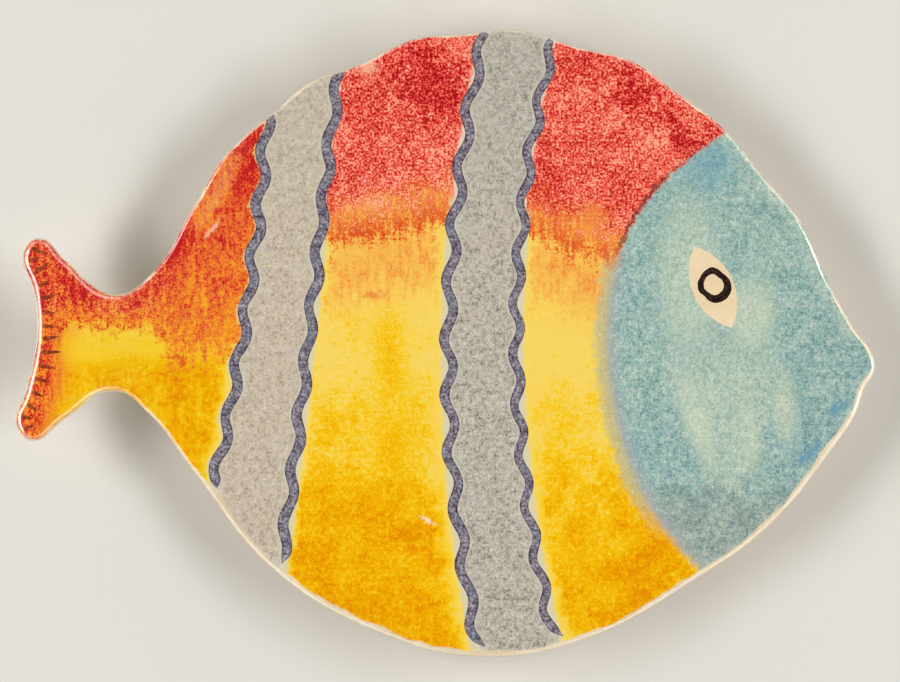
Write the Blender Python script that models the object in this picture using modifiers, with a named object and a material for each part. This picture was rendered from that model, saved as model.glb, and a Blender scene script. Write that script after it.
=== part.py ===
"""Fish-shaped salad plate in earthenware: a clay body with a foot ring, and the glaze coats on it.

Metres, +Z up. The fish lies face up, with its mouth towards +X and its back towards +Y. The origin
is under the middle of the outline, on the surface that the foot ring stands on.
"""

import math

import bmesh
import bpy
from mathutils import Vector
from mathutils.geometry import delaunay_2d_cdt

# Outline of the fish, seen from above
PLATE_LENGTH = 0.276      # end of the tail to the snout
BODY_HEIGHT = 0.202       # belly to back
TAIL_LENGTH = 0.0315      # end of the tail to the neck, its narrowest place
TAIL_SPAN = 0.0650        # tip of one tail lobe to the other
TAIL_MID_SPAN = 0.0508    # across the tail, halfway along it
TAIL_HOLLOW = 0.0066      # how far the tail's end is hollowed between the lobes
TAIL_SKEW = 0.0023        # how much shorter the upper lobe is
TAIL_LIFT = 0.0011        # how far the tail lies above the middle of the body
TIP_RADIUS = 0.0050       # rounding of the lobes' tips
NECK_WIDTH = 0.0313       # across the neck
SNOUT_DROP = 0.0069       # how far the snout lies below the middle of the body

# Stations of the hand-cut outline, as shares of the body's length and of half its height
BELLY_SHARES = ((0.044, 0.228), (0.098, 0.398), (0.203, 0.714), (0.335, 0.912), (0.480, 1.0), (0.624, 0.94),
                (0.756, 0.768), (0.862, 0.583), (0.941, 0.35), (0.976, 0.22), (0.985, 0.155))
BACK_SHARES = ((0.970, 0.06), (0.943, 0.18), (0.902, 0.393), (0.855, 0.53), (0.798, 0.693), (0.733, 0.812),
               (0.680, 0.899), (0.612, 0.942), (0.525, 0.997), (0.450, 0.982), (0.405, 0.976), (0.298, 0.866),
               (0.272, 0.852), (0.203, 0.727), (0.148, 0.61), (0.098, 0.42), (0.050, 0.23))

# Section of the plate
PLATE_THICKNESS = 0.0065  # glaze to glaze
EDGE_RADIUS = 0.0026      # rounding of the lip
RIM_RISE = 0.012          # well floor to lip, at the top of the back
WELL_WIDTH = 0.092        # across the flat floor of the well, belly to back
FOOT_DIAMETER = 0.106     # middle of the foot ring
FOOT_WIDTH = 0.0055       # the foot's flat resting land
FOOT_FLARE = 0.0012       # how much wider the foot is at its root, on each side
FOOT_HEIGHT = 0.0036      # resting land to glazed back, at the middle
FOOT_ROOT = 0.0025        # how deep the foot is bedded in the clay

# Glaze
GLAZE = 0.0005            # thickness of a coat
SEAT = 0.0003             # clearance between a coat and the clay, and between two coats

# Painted stripes: place along the plate at half height, width, slant and bow over half the height
REAR_STRIPE_AT = -0.0555
REAR_STRIPE_WIDTH = 0.0218
REAR_STRIPE_LEAN = 0.0132
REAR_STRIPE_BOW = -0.003
FRONT_STRIPE_AT = 0.0117
FRONT_STRIPE_WIDTH = 0.022
FRONT_STRIPE_LEAN = 0.0004
FRONT_STRIPE_BOW = 0.012
HEAD_LINE_AT = 0.0522
HEAD_LINE_LEAN = -0.0021
HEAD_LINE_BOW = 0.0450
HEAD_LINE_TWIST = 0.0275  # further slant, close to belly and back
HEAD_LINE_FLARE = 0.0544  # further bow, close to belly and back
LINE_WIDTH = 0.0033       # the dark wavy lines that edge the stripes
WAVE_DEPTH = 0.0014       # swing of those lines to each side
WAVE_PITCH = 0.0175

# Eye
EYE_FROM_SNOUT = 0.0516
EYE_RISE = 0.018
EYE_LENGTH = 0.029
EYE_WIDTH = 0.0134
EYE_TILT = 116.0          # degrees from the fish's length
RING_DIAMETER = 0.0112
RING_WIDTH = 0.0022

# Fineness of the facets
OUTLINE_STEPS = 3
WAVE_STEPS = 6
ARC_STEPS = 10
FOOT_STEPS = 48
QUARTER_TURN = (90, 45, 0)
GUIDE_PITCH = 0.012       # from ring to ring of the points that carry the dish's curve
GUIDE_SPACING = 0.016     # along such a ring
GUIDE_ROOM = 0.0025       # points this near an edge are left out
MERGE = 0.00001

TAIL_END = -PLATE_LENGTH / 2
SNOUT = PLATE_LENGTH / 2
NECK = TAIL_END + TAIL_LENGTH
HALF_LENGTH = (SNOUT - NECK) / 2
HALF_HEIGHT = BODY_HEIGHT / 2
BODY_MIDDLE = (SNOUT + NECK) / 2
REACH = HALF_HEIGHT + WAVE_PITCH
COLLECTION = "fish_salad_plate"

COLOURS = {
    "biscuit": (206, 170, 132),
    "cream_glaze": (226, 208, 174),
    "tail_red_glaze": (228, 110, 48),
    "grey_glaze": (188, 179, 163),
    "sun_glaze": (243, 176, 50),
    "turquoise_glaze": (158, 185, 175),
    "violet_line": (117, 108, 118),
    "black_line": (39, 23, 16),
}


def start_clean():
    """Empty the scene and make the collections for the plate and for its cutters."""
    for item in list(bpy.data.objects):
        bpy.data.objects.remove(item)
    folders = []
    for title in (COLLECTION, "cutters"):
        folder = bpy.data.collections.new(title)
        bpy.context.scene.collection.children.link(folder)
        folders.append(folder)
    return folders


def ceramic(name, roughness):
    """Principled material in one of the plate's colours."""
    material = bpy.data.materials.new(name)
    material.use_nodes = True
    shader = material.node_tree.nodes["Principled BSDF"]
    shader.inputs["Base Color"].default_value = [(level / 255) ** 2.2 for level in COLOURS[name]] + [1]
    shader.inputs["Roughness"].default_value = roughness
    shader.inputs["Metallic"].default_value = 0
    return material


def tail_lobe(end, side):
    """Points round one lobe of the tail, from the neck's side to the hollow."""
    tip = TAIL_LIFT + side * TAIL_SPAN / 2
    return [
        (NECK - TAIL_LENGTH / 2, TAIL_LIFT + side * TAIL_MID_SPAN / 2),
        (end + TIP_RADIUS, tip),
        (end, tip - side * TIP_RADIUS),
        (end + TAIL_HOLLOW / 2, TAIL_LIFT + side * TAIL_SPAN / 4),
    ]


def outline_points():
    """Knots of the fish's outline, anticlockwise from the underside of the neck."""
    length = 2 * HALF_LENGTH
    belly = [(NECK + along * length, -HALF_HEIGHT * out) for along, out in BELLY_SHARES]
    back = [(NECK + along * length, HALF_HEIGHT * out) for along, out in BACK_SHARES]
    upper = tail_lobe(TAIL_END + TAIL_SKEW, 1)
    lower = tail_lobe(TAIL_END, -1)
    knots = [(NECK, -NECK_WIDTH / 2)] + belly + [(SNOUT, -SNOUT_DROP)] + back
    return knots + [(NECK, NECK_WIDTH / 2)] + upper + [(TAIL_END + TAIL_HOLLOW, TAIL_LIFT)] + lower[::-1]


def smooth_loop(knots, steps):
    """Points along a closed smooth curve through the knots."""
    curve = bpy.data.curves.new("outline", "CURVE")
    curve.dimensions = "2D"
    curve.fill_mode = "NONE"
    curve.resolution_u = steps
    spline = curve.splines.new("BEZIER")
    spline.bezier_points.add(len(knots) - 1)
    spline.use_cyclic_u = True
    for knot, place in zip(spline.bezier_points, knots):
        knot.co = (*place, 0)
        knot.handle_left_type = "AUTO"
        knot.handle_right_type = "AUTO"
    guide = bpy.data.objects.new("outline", curve)
    bpy.context.scene.collection.objects.link(guide)
    depsgraph = bpy.context.evaluated_depsgraph_get()
    mesh = bpy.data.meshes.new_from_object(guide.evaluated_get(depsgraph))
    points = [vertex.co.xy for vertex in mesh.vertices]
    bpy.data.objects.remove(guide)
    return points


def inset(loop, distance):
    """The loop moved inwards by a distance."""
    moved = []
    for here, point in enumerate(loop):
        along = (loop[(here + 1) % len(loop)] - loop[here - 1]).normalized()
        moved.append(point + Vector((-along.y, along.x)) * distance)
    return moved


def well_share(x, y):
    """0 on the well's flat floor, 1 on the oval through back, belly, snout and neck."""
    oval = math.hypot((x - BODY_MIDDLE) / HALF_LENGTH, y / HALF_HEIGHT)
    floor = WELL_WIDTH / BODY_HEIGHT
    return max(0, (oval - floor) / (1 - floor))


def face(x, y):
    """Height of the glazed face: a dish that levels out again towards the end of the tail."""
    share = well_share(x, y)
    beyond = max(0, share - 1)
    level = well_share(TAIL_END, 0) - 1
    rise = min(share, 1) ** 2 + 2 * beyond - beyond ** 2 / level
    return FOOT_HEIGHT + PLATE_THICKNESS + RIM_RISE * rise


def below_face(depth):
    """Height of the surface that lies this deep under the glazed face."""
    return lambda x, y: face(x, y) - depth


def above_back(depth):
    """Height of the surface that lies this deep inside the glazed back."""
    return lambda x, y: face(x, y) - PLATE_THICKNESS + depth


def edge_ring(outline, radius, angle, height_above):
    """Ring round the plate's lip, at an angle of the lip's rounding with the given radius."""
    turn = math.radians(angle)
    height = height_above(EDGE_RADIUS - radius * math.sin(turn))
    ring = inset(outline, EDGE_RADIUS - radius * math.cos(turn))
    return [Vector((point.x, point.y, height(point.x, point.y))) for point in ring]


def lip_rings(outline, radius):
    """Rings over the whole lip, from the face round to the back."""
    upper = [edge_ring(outline, radius, angle, below_face) for angle in QUARTER_TURN]
    lower = [edge_ring(outline, radius, angle, above_back) for angle in reversed(QUARTER_TURN)]
    return upper + lower


def circle(centre, radius, steps):
    """Points round a circle."""
    turns = [2 * math.pi * step / steps for step in range(steps)]
    return [centre + Vector((math.cos(turn), math.sin(turn))) * radius for turn in turns]


def almond(centre, length, width, tilt):
    """Two equal arcs that meet in points, length apart."""
    half = length / 2
    radius = (half ** 2 + (width / 2) ** 2) / width
    opening = math.asin(half / radius)
    turns = [opening * (2 * step / ARC_STEPS - 1) for step in range(ARC_STEPS)]
    arc = [Vector((radius * math.cos(turn) - radius + width / 2, radius * math.sin(turn))) for turn in turns]
    spin = math.radians(tilt - 90)
    turned = []
    for point in arc + [-point for point in arc]:
        x = point.x * math.cos(spin) - point.y * math.sin(spin)
        y = point.x * math.sin(spin) + point.y * math.cos(spin)
        turned.append(centre + Vector((x, y)))
    return turned


def painted_line(at, lean=0, bow=0, twist=0, flare=0, wave=0):
    """Place along the plate of a line from belly to back, at a height on the body."""
    def place(y):
        share = y / HALF_HEIGHT
        swing = wave * math.sin(2 * math.pi * y / WAVE_PITCH)
        return at + lean * share + bow * share ** 2 + twist * share ** 3 + flare * share ** 4 + swing
    return place


def strip(left, right):
    """Outline of the area between two lines, anticlockwise, running past belly and back."""
    count = round(2 * REACH / WAVE_PITCH * WAVE_STEPS)
    heights = [REACH * (2 * step / count - 1) for step in range(count + 1)]
    up = [Vector((right(y), y)) for y in heights]
    down = [Vector((left(y), y)) for y in reversed(heights)]
    return up + down


def shifted(line, distance):
    """The line moved along the plate, by a distance measured square to the line."""
    step = WAVE_PITCH / 100
    def place(y):
        slope = (line(y + step) - line(y - step)) / (2 * step)
        return line(y) + distance * math.hypot(1, slope)
    return place


def guide_points(loops):
    """Points that carry the dish's curve between the edges of an area."""
    edges = [point.xy for loop in loops for point in loop]
    points = []
    for ring in range(1, math.ceil((BODY_MIDDLE - TAIL_END) / GUIDE_PITCH)):
        share = ring * GUIDE_PITCH / HALF_HEIGHT
        count = round(2 * math.pi * share * HALF_LENGTH / GUIDE_SPACING)
        for step in range(count):
            turn = 2 * math.pi * (step + 0.5) / count
            x = BODY_MIDDLE + share * HALF_LENGTH * math.cos(turn)
            point = Vector((x, share * HALF_HEIGHT * math.sin(turn)))
            if min((edge - point).length for edge in edges) > GUIDE_ROOM:
                points.append(point)
    return points


def fill(shape, inside, outside, height):
    """Triangles over what lies in all of the inside loops and in none of the outside loops."""
    loops = inside + outside
    points = []
    outlines = []
    for loop in loops:
        outlines.append(list(range(len(points), len(points) + len(loop))))
        points += [point.xy for point in loop]
    points += guide_points(loops)
    places, _, triangles, _, _, owners = delaunay_2d_cdt(points, [], outlines, 1, MERGE / 10)
    wanted = set(range(len(inside)))
    made = {}
    faces = []
    for triangle, owner in zip(triangles, owners):
        if set(owner) == wanted:
            for corner in triangle:
                if corner not in made:
                    x, y = places[corner]
                    made[corner] = shape.verts.new((x, y, height(x, y)))
            faces.append(shape.faces.new([made[corner] for corner in triangle]))
    return faces


def bridge(shape, rings, closed):
    """Band of faces from ring to ring, back to the first ring if it is closed."""
    rows = [[shape.verts.new(point) for point in ring] for ring in rings]
    pairs = list(zip(rows, rows[1:]))
    if closed:
        pairs.append((rows[-1], rows[0]))
    for first, second in pairs:
        for here in range(len(first)):
            following = (here + 1) % len(first)
            shape.faces.new((first[here], first[following], second[following], second[here]))


def add_object(name, shape, material, folder):
    """Object from a finished shape, with its faces pointing out."""
    bmesh.ops.remove_doubles(shape, verts=shape.verts, dist=MERGE)
    bmesh.ops.recalc_face_normals(shape, faces=shape.faces)
    mesh = bpy.data.meshes.new(name)
    shape.to_mesh(mesh)
    shape.free()
    mesh.shade_smooth()
    mesh.set_sharp_from_angle(angle=math.radians(40))
    mesh.materials.append(material)
    item = bpy.data.objects.new(name, mesh)
    folder.objects.link(item)
    return item


def foot_ring(folder):
    """The turned foot, with its root bedded in the clay."""
    land = FOOT_WIDTH / 2
    root = land + FOOT_FLARE
    top = FOOT_HEIGHT + GLAZE + SEAT + FOOT_ROOT
    middle = FOOT_DIAMETER / 2
    profile = ((middle + root, top), (middle + land, 0), (middle - land, 0), (middle - root, top))
    mesh = bpy.data.meshes.new("foot_ring")
    corners = [(radius, 0, height) for radius, height in profile]
    mesh.from_pydata(corners, [(0, 1), (1, 2), (2, 3), (3, 0)], [])
    ring = bpy.data.objects.new("foot_ring", mesh)
    ring.location.x = BODY_MIDDLE
    turn = ring.modifiers.new("turned", "SCREW")
    turn.steps = FOOT_STEPS
    turn.render_steps = FOOT_STEPS
    turn.use_merge_vertices = True
    turn.merge_threshold = MERGE
    ring.display_type = "WIRE"
    ring.hide_render = True
    folder.objects.link(ring)
    return ring


def clay_body(outline, material, folder, cutters):
    """The draped slab with its rounded lip, on its foot ring."""
    depth = GLAZE + SEAT
    shape = bmesh.new()
    rings = lip_rings(outline, EDGE_RADIUS - depth)
    bridge(shape, rings, closed=False)
    fill(shape, [rings[0]], [], below_face(depth))
    fill(shape, [rings[-1]], [], above_back(depth))
    body = add_object("clay_body", shape, material, folder)
    foot = body.modifiers.new("foot", "BOOLEAN")
    foot.operation = "UNION"
    foot.solver = "EXACT"
    foot.object = foot_ring(cutters)


def rim_glaze(outline, material, folder):
    """The coat that wraps round the lip."""
    shape = bmesh.new()
    outer = lip_rings(outline, EDGE_RADIUS)
    inner = lip_rings(outline, EDGE_RADIUS - GLAZE)
    bridge(shape, outer + inner[::-1], closed=True)
    add_object("rim_glaze", shape, material, folder)


def coat(name, inside, outside, low, high, material, folder):
    """A coat of even thickness over an area of the face or the back."""
    shape = bmesh.new()
    faces = fill(shape, inside, outside, low)
    lifted = bmesh.ops.extrude_face_region(shape, geom=faces, use_keep_orig=True)
    for part in lifted["geom"]:
        if isinstance(part, bmesh.types.BMVert):
            part.co.z = high(part.co.x, part.co.y)
    add_object(name, shape, material, folder)


def back_coats(area, material, folder):
    """The glaze on the back, outside the foot ring and in the recess within it."""
    middle = Vector((BODY_MIDDLE, 0))
    root = FOOT_WIDTH / 2 + FOOT_FLARE + SEAT
    outer = circle(middle, FOOT_DIAMETER / 2 + root, FOOT_STEPS)
    inner = circle(middle, FOOT_DIAMETER / 2 - root, FOOT_STEPS)
    low = above_back(0)
    high = above_back(GLAZE)
    coat("back_glaze", [area], [outer], low, high, material, folder)
    coat("foot_recess_glaze", [inner], [], low, high, material, folder)


def stripe_lines(at, width, lean, bow):
    """The two wavy lines that edge a stripe."""
    return [painted_line(at + side * width / 2, lean, bow, wave=WAVE_DEPTH) for side in (-1, 1)]


def face_coats(area, glazes, folder):
    """The coloured fields of the face, the wavy lines between them and the eye."""
    low = below_face(GLAZE)
    high = below_face(0)
    rear = stripe_lines(REAR_STRIPE_AT, REAR_STRIPE_WIDTH, REAR_STRIPE_LEAN, REAR_STRIPE_BOW)
    front = stripe_lines(FRONT_STRIPE_AT, FRONT_STRIPE_WIDTH, FRONT_STRIPE_LEAN, FRONT_STRIPE_BOW)
    head = painted_line(HEAD_LINE_AT, HEAD_LINE_LEAN, HEAD_LINE_BOW, HEAD_LINE_TWIST, HEAD_LINE_FLARE)
    names = ("rear_stripe_tail_line", "rear_stripe_head_line", "front_stripe_tail_line",
             "front_stripe_head_line")
    pen = LINE_WIDTH / 2
    for name, line in zip(names, rear + front):
        stroke = strip(shifted(line, -pen), shifted(line, pen))
        coat(name, [area, stroke], [], low, high, glazes["violet_line"], folder)

    past_tail = painted_line(TAIL_END * 2)
    past_snout = painted_line(SNOUT * 4)
    left_sides = [past_tail] + [shifted(line, pen + SEAT) for line in rear + front]
    left_sides.append(shifted(head, SEAT / 2))
    right_sides = [shifted(line, -pen - SEAT) for line in rear + front]
    right_sides += [shifted(head, -SEAT / 2), past_snout]
    fields = (("tail_glaze", "tail_red_glaze"), ("rear_stripe_glaze", "grey_glaze"),
              ("middle_glaze", "sun_glaze"), ("front_stripe_glaze", "grey_glaze"),
              ("shoulder_glaze", "sun_glaze"), ("head_glaze", "turquoise_glaze"))
    middle = Vector((SNOUT - EYE_FROM_SNOUT, EYE_RISE))
    socket = almond(middle, EYE_LENGTH + 2 * SEAT, EYE_WIDTH + 2 * SEAT, EYE_TILT)
    for (name, glaze), left, right in zip(fields, left_sides, right_sides):
        holes = [socket] if name == "head_glaze" else []
        coat(name, [area, strip(left, right)], holes, low, high, glazes[glaze], folder)
    eye_coats(middle, low, high, glazes, folder)


def eye_coats(middle, low, high, glazes, folder):
    """The almond of the eye, its dark ring and the bare centre of the ring."""
    steps = 2 * ARC_STEPS
    outer = RING_DIAMETER / 2
    inner = outer - RING_WIDTH
    white = almond(middle, EYE_LENGTH, EYE_WIDTH, EYE_TILT)
    seat = circle(middle, outer + SEAT, steps)
    coat("eye_white", [white], [seat], low, high, glazes["cream_glaze"], folder)
    ring = circle(middle, outer, steps)
    hole = circle(middle, inner, steps)
    coat("eye_ring", [ring], [hole], low, high, glazes["black_line"], folder)
    centre = circle(middle, inner - SEAT, steps)
    coat("eye_centre", [centre], [], low, high, glazes["cream_glaze"], folder)


def main():
    """Build the plate."""
    parts, cutters = start_clean()
    glazes = {name: ceramic(name, 0.85 if name == "biscuit" else 0.15) for name in COLOURS}
    outline = smooth_loop(outline_points(), OUTLINE_STEPS)
    area = inset(outline, EDGE_RADIUS + SEAT)
    clay_body(outline, glazes["biscuit"], parts, cutters)
    rim_glaze(outline, glazes["cream_glaze"], parts)
    back_coats(area, glazes["cream_glaze"], parts)
    face_coats(area, glazes, parts)


main()
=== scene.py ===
"""Looks of the fish-shaped salad plate: fine clay and glaze meshes, sponged paint and a plain studio.

Metres, +Z up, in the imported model's own frame: the fish lies face up, with its mouth towards +X and its
back towards +Y. Paint is laid out in millimetres on the plate, because its marks are that small.
"""

import logging
import math
from dataclasses import dataclass, field
from enum import Enum
from typing import Callable, Dict, List, Optional, Sequence, Tuple, Union

import bmesh
import bpy
from bpy.types import Material, Mesh, Node, NodeSocket, NodeTree, Object
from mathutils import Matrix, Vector, kdtree, noise
from mathutils.geometry import delaunay_2d_cdt


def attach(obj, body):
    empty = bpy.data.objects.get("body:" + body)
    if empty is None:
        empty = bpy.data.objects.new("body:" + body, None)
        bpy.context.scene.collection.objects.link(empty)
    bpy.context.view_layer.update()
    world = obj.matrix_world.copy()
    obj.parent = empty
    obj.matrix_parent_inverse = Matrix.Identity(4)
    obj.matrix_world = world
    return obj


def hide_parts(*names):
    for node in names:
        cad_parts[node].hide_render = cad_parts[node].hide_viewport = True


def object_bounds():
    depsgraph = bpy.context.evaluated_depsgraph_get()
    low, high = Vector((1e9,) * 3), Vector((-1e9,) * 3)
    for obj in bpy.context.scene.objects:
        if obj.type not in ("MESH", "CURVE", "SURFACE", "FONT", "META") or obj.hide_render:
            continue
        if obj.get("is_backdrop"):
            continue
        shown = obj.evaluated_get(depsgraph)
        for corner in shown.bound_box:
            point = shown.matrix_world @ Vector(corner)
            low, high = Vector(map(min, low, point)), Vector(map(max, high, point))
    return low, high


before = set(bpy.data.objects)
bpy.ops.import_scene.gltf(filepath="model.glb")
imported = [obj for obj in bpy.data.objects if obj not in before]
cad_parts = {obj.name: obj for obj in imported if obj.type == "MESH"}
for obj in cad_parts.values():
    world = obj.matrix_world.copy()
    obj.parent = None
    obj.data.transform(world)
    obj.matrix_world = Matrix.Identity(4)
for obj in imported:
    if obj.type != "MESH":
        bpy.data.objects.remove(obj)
CAD_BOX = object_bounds()

LOG = logging.getLogger("fish_plate")
BODY = "root"
MM = 0.001
TO_MM = 1000
FAR = 50.0                # farther from a line than any paint beside it, in millimetres
WELD = 0.000002           # points of a sheet that lie closer than this become one
TOUCH = 0.0000001         # the same between a coat's top and its base
SEED_SHIFT = (371, 533)   # how far each seed shifts the noise, in millimetres
NOISE_GAIN = 6.0          # brings the noise to about 1 on each side of 0
SMOOTH_ANGLE = math.radians(40)

Rgb = Tuple[int, int, int]
Rgbs = Tuple[Rgb, ...]
Point = Tuple[float, float]


class Coat(Enum):
    """The coats of glaze that lie side by side on the face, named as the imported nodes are."""

    TAIL = "tail_glaze"
    REAR_STRIPE = "rear_stripe_glaze"
    MIDDLE = "middle_glaze"
    FRONT_STRIPE = "front_stripe_glaze"
    SHOULDER = "shoulder_glaze"
    HEAD = "head_glaze"


class Slot(Enum):
    """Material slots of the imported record."""

    BISCUIT = "biscuit"
    CREAM = "cream_glaze"
    TAIL_RED = "tail_red_glaze"
    GREY = "grey_glaze"
    SUN = "sun_glaze"
    TURQUOISE = "turquoise_glaze"
    VIOLET = "violet_line"
    BLACK = "black_line"


class Wire:
    """A value on its way through a node tree, which joins in sums as a number does."""

    def __init__(self, bench: "Bench", socket: NodeSocket) -> None:
        """Keep the bench of the tree and the socket that gives the value."""
        self.bench = bench
        self.socket = socket

    def __add__(self, other: "Number") -> "Wire":
        """Sum."""
        return self.bench.math("ADD", self, other)

    def __sub__(self, other: "Number") -> "Wire":
        """Difference."""
        return self.bench.math("SUBTRACT", self, other)

    def __rsub__(self, other: "Number") -> "Wire":
        """Difference from a number."""
        return self.bench.math("SUBTRACT", other, self)

    def __mul__(self, other: "Number") -> "Wire":
        """Product."""
        return self.bench.math("MULTIPLY", self, other)

    def __truediv__(self, other: "Number") -> "Wire":
        """Quotient."""
        return self.bench.math("DIVIDE", self, other)

    def __abs__(self) -> "Wire":
        """Size without its sign."""
        return self.bench.math("ABSOLUTE", self)

    __radd__ = __add__
    __rmul__ = __mul__


Number = Union[Wire, float]


class Bench:
    """Adds nodes to one tree and wires them up."""

    def __init__(self, tree: NodeTree) -> None:
        """Keep the tree that is worked on."""
        self.tree = tree

    def add(self, kind: str, feeds: Optional[dict] = None, **settings: object) -> Node:
        """Add a node.

        Args:
            kind: Blender's name for the kind of node.
            feeds: What goes into its inputs, by name or by number.
            settings: The node's own properties.

        Returns:
            The new node.
        """
        node = self.tree.nodes.new(kind)
        for name, value in settings.items():
            setattr(node, name, value)
        for key, value in (feeds or {}).items():
            self.feed(node.inputs[key], value)
        return node

    def feed(self, socket: NodeSocket, value: object) -> None:
        """Fill an input.

        Args:
            socket: The input.
            value: A wire, another node's socket or a plain value.
        """
        source = value.socket if isinstance(value, Wire) else value
        if isinstance(source, NodeSocket):
            self.tree.links.new(source, socket)
        else:
            socket.default_value = source

    def wire(self, socket: NodeSocket) -> Wire:
        """A wire from a node's output."""
        return Wire(self, socket)

    def math(self, operation: str, *values: Number) -> Wire:
        """The result of a Math node."""
        node = self.add("ShaderNodeMath", dict(enumerate(values)), operation=operation)
        return self.wire(node.outputs[0])

    def least(self, first: Number, second: Number) -> Wire:
        """The smaller of two values."""
        return self.math("MINIMUM", first, second)

    def most(self, first: Number, second: Number) -> Wire:
        """The larger of two values."""
        return self.math("MAXIMUM", first, second)

    def ramp(self, value: Number, low: Number, high: Number) -> Wire:
        """A soft rise from 0 at low to 1 at high, or a fall where low is the larger."""
        feeds = {"Value": value, "From Min": low, "From Max": high}
        return self.wire(self.add("ShaderNodeMapRange", feeds, interpolation_type="SMOOTHSTEP").outputs[0])

    def vector(self, x: Number, y: Number, z: Number) -> Wire:
        """A vector from its three parts."""
        node = self.add("ShaderNodeCombineXYZ", {"X": x, "Y": y, "Z": z})
        return self.wire(node.outputs[0])

    def parts(self, vector: object) -> Tuple[Wire, Wire, Wire]:
        """The three parts of a vector."""
        node = self.add("ShaderNodeSeparateXYZ", {0: vector})
        return tuple(self.wire(socket) for socket in node.outputs)

    def mix(self, first: object, second: object, share: Number) -> Wire:
        """A colour between two others."""
        node = self.add("ShaderNodeMix", {0: share, 6: first, 7: second}, data_type="RGBA")
        return self.wire(node.outputs[2])

    def tones(self, value: Wire, low: float, high: float, colours: Sequence[Rgb]) -> Wire:
        """Pick a colour from a row of them.

        Args:
            value: What picks.
            low: The value that picks the first colour.
            high: The value that picks the last.
            colours: The row, spread evenly.

        Returns:
            The colour.
        """
        share = self.add("ShaderNodeMapRange", {"Value": value, "From Min": low, "From Max": high})
        node = self.add("ShaderNodeValToRGB", {0: share.outputs[0]})
        stops = node.color_ramp.elements
        for number in range(1, len(colours) - 1):
            stops.new(number / (len(colours) - 1))
        for stop, colour in zip(stops, colours):
            stop.color = paint(colour)
        return self.wire(node.outputs[0])


def paint(colour: Rgb) -> Tuple[float, float, float, float]:
    """A colour as the eye names it, up to 255, in the levels that a shader works with."""
    levels = [level / 255 for level in colour]
    return (*(((v + 0.055) / 1.055) ** 2.4 if v > 0.04045 else v / 12.92 for v in levels), 1.0)


# Form of the plate


@dataclass(frozen=True)
class FishOutline:
    """The hand-cut outline of the fish.

    Attributes:
        belly: Stations along the belly, as shares of the body's length and of half its height.
        back: The same along the back, from the snout to the neck.
    """

    plate_length: float = 0.276
    body_height: float = 0.202
    tail_length: float = 0.0315
    tail_span: float = 0.0650
    tail_mid_span: float = 0.0508
    tail_hollow: float = 0.0066
    tail_skew: float = 0.0023
    tail_lift: float = 0.0011
    tip_radius: float = 0.0050
    neck_width: float = 0.0313
    snout_drop: float = 0.0069
    belly: Tuple[Point, ...] = (
        (0.044, 0.228), (0.098, 0.398), (0.203, 0.714), (0.335, 0.912), (0.480, 1.0), (0.624, 0.94),
        (0.756, 0.768), (0.862, 0.583), (0.941, 0.35), (0.976, 0.22), (0.985, 0.155))
    back: Tuple[Point, ...] = (
        (0.970, 0.06), (0.943, 0.18), (0.902, 0.393), (0.855, 0.53), (0.798, 0.693), (0.733, 0.812),
        (0.680, 0.899), (0.612, 0.942), (0.525, 0.997), (0.450, 0.982), (0.405, 0.976), (0.298, 0.866),
        (0.272, 0.852), (0.203, 0.727), (0.148, 0.61), (0.098, 0.42), (0.050, 0.23))
    steps: int = 12

    @property
    def tail_end(self) -> float:
        """Where the longer lobe ends."""
        return -self.plate_length / 2

    @property
    def snout(self) -> float:
        """Where the mouth ends."""
        return self.plate_length / 2

    @property
    def neck(self) -> float:
        """The narrowest place, between tail and body."""
        return self.tail_end + self.tail_length

    @property
    def half_length(self) -> float:
        """Half of the body without its tail."""
        return (self.snout - self.neck) / 2

    @property
    def half_height(self) -> float:
        """Half of the body, belly to back."""
        return self.body_height / 2

    @property
    def middle(self) -> float:
        """The middle of the body without its tail."""
        return (self.snout + self.neck) / 2

    def lobe(self, end: float, side: int) -> List[Point]:
        """Set out one lobe of the tail.

        Args:
            end: Where the lobe ends.
            side: 1 for the upper lobe, -1 for the lower one.

        Returns:
            Its knots, from the neck's side to the hollow.
        """
        tip = self.tail_lift + side * self.tail_span / 2
        return [
            (self.neck - self.tail_length / 2, self.tail_lift + side * self.tail_mid_span / 2),
            (end + self.tip_radius, tip),
            (end, tip - side * self.tip_radius),
            (end + self.tail_hollow / 2, self.tail_lift + side * self.tail_span / 4),
        ]

    def knots(self) -> List[Point]:
        """Set out the whole outline.

        Returns:
            Its knots, anticlockwise from the underside of the neck.
        """
        length = 2 * self.half_length
        belly = [(self.neck + along * length, -self.half_height * out) for along, out in self.belly]
        back = [(self.neck + along * length, self.half_height * out) for along, out in self.back]
        upper = self.lobe(self.tail_end + self.tail_skew, 1)
        lower = self.lobe(self.tail_end, -1)
        hollow = (self.tail_end + self.tail_hollow, self.tail_lift)
        body = [(self.neck, -self.neck_width / 2), *belly, (self.snout, -self.snout_drop), *back]
        return [*body, (self.neck, self.neck_width / 2), *upper, hollow, *lower[::-1]]

    def loop(self) -> List[Vector]:
        """Draw the smooth closed curve through the knots.

        Returns:
            Points along it.
        """
        knots = self.knots()
        curve = bpy.data.curves.new("outline", "CURVE")
        curve.resolution_u = self.steps
        spline = curve.splines.new("BEZIER")
        spline.bezier_points.add(len(knots) - 1)
        spline.use_cyclic_u = True
        for knot, place in zip(spline.bezier_points, knots):
            knot.co = (*place, 0)
            knot.handle_left_type = knot.handle_right_type = "AUTO"
        guide = bpy.data.objects.new("outline", curve)
        bpy.context.scene.collection.objects.link(guide)
        mesh = as_mesh(guide)
        points = [vertex.co.xy for vertex in mesh.vertices]
        bpy.data.objects.remove(guide)
        return points


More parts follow.
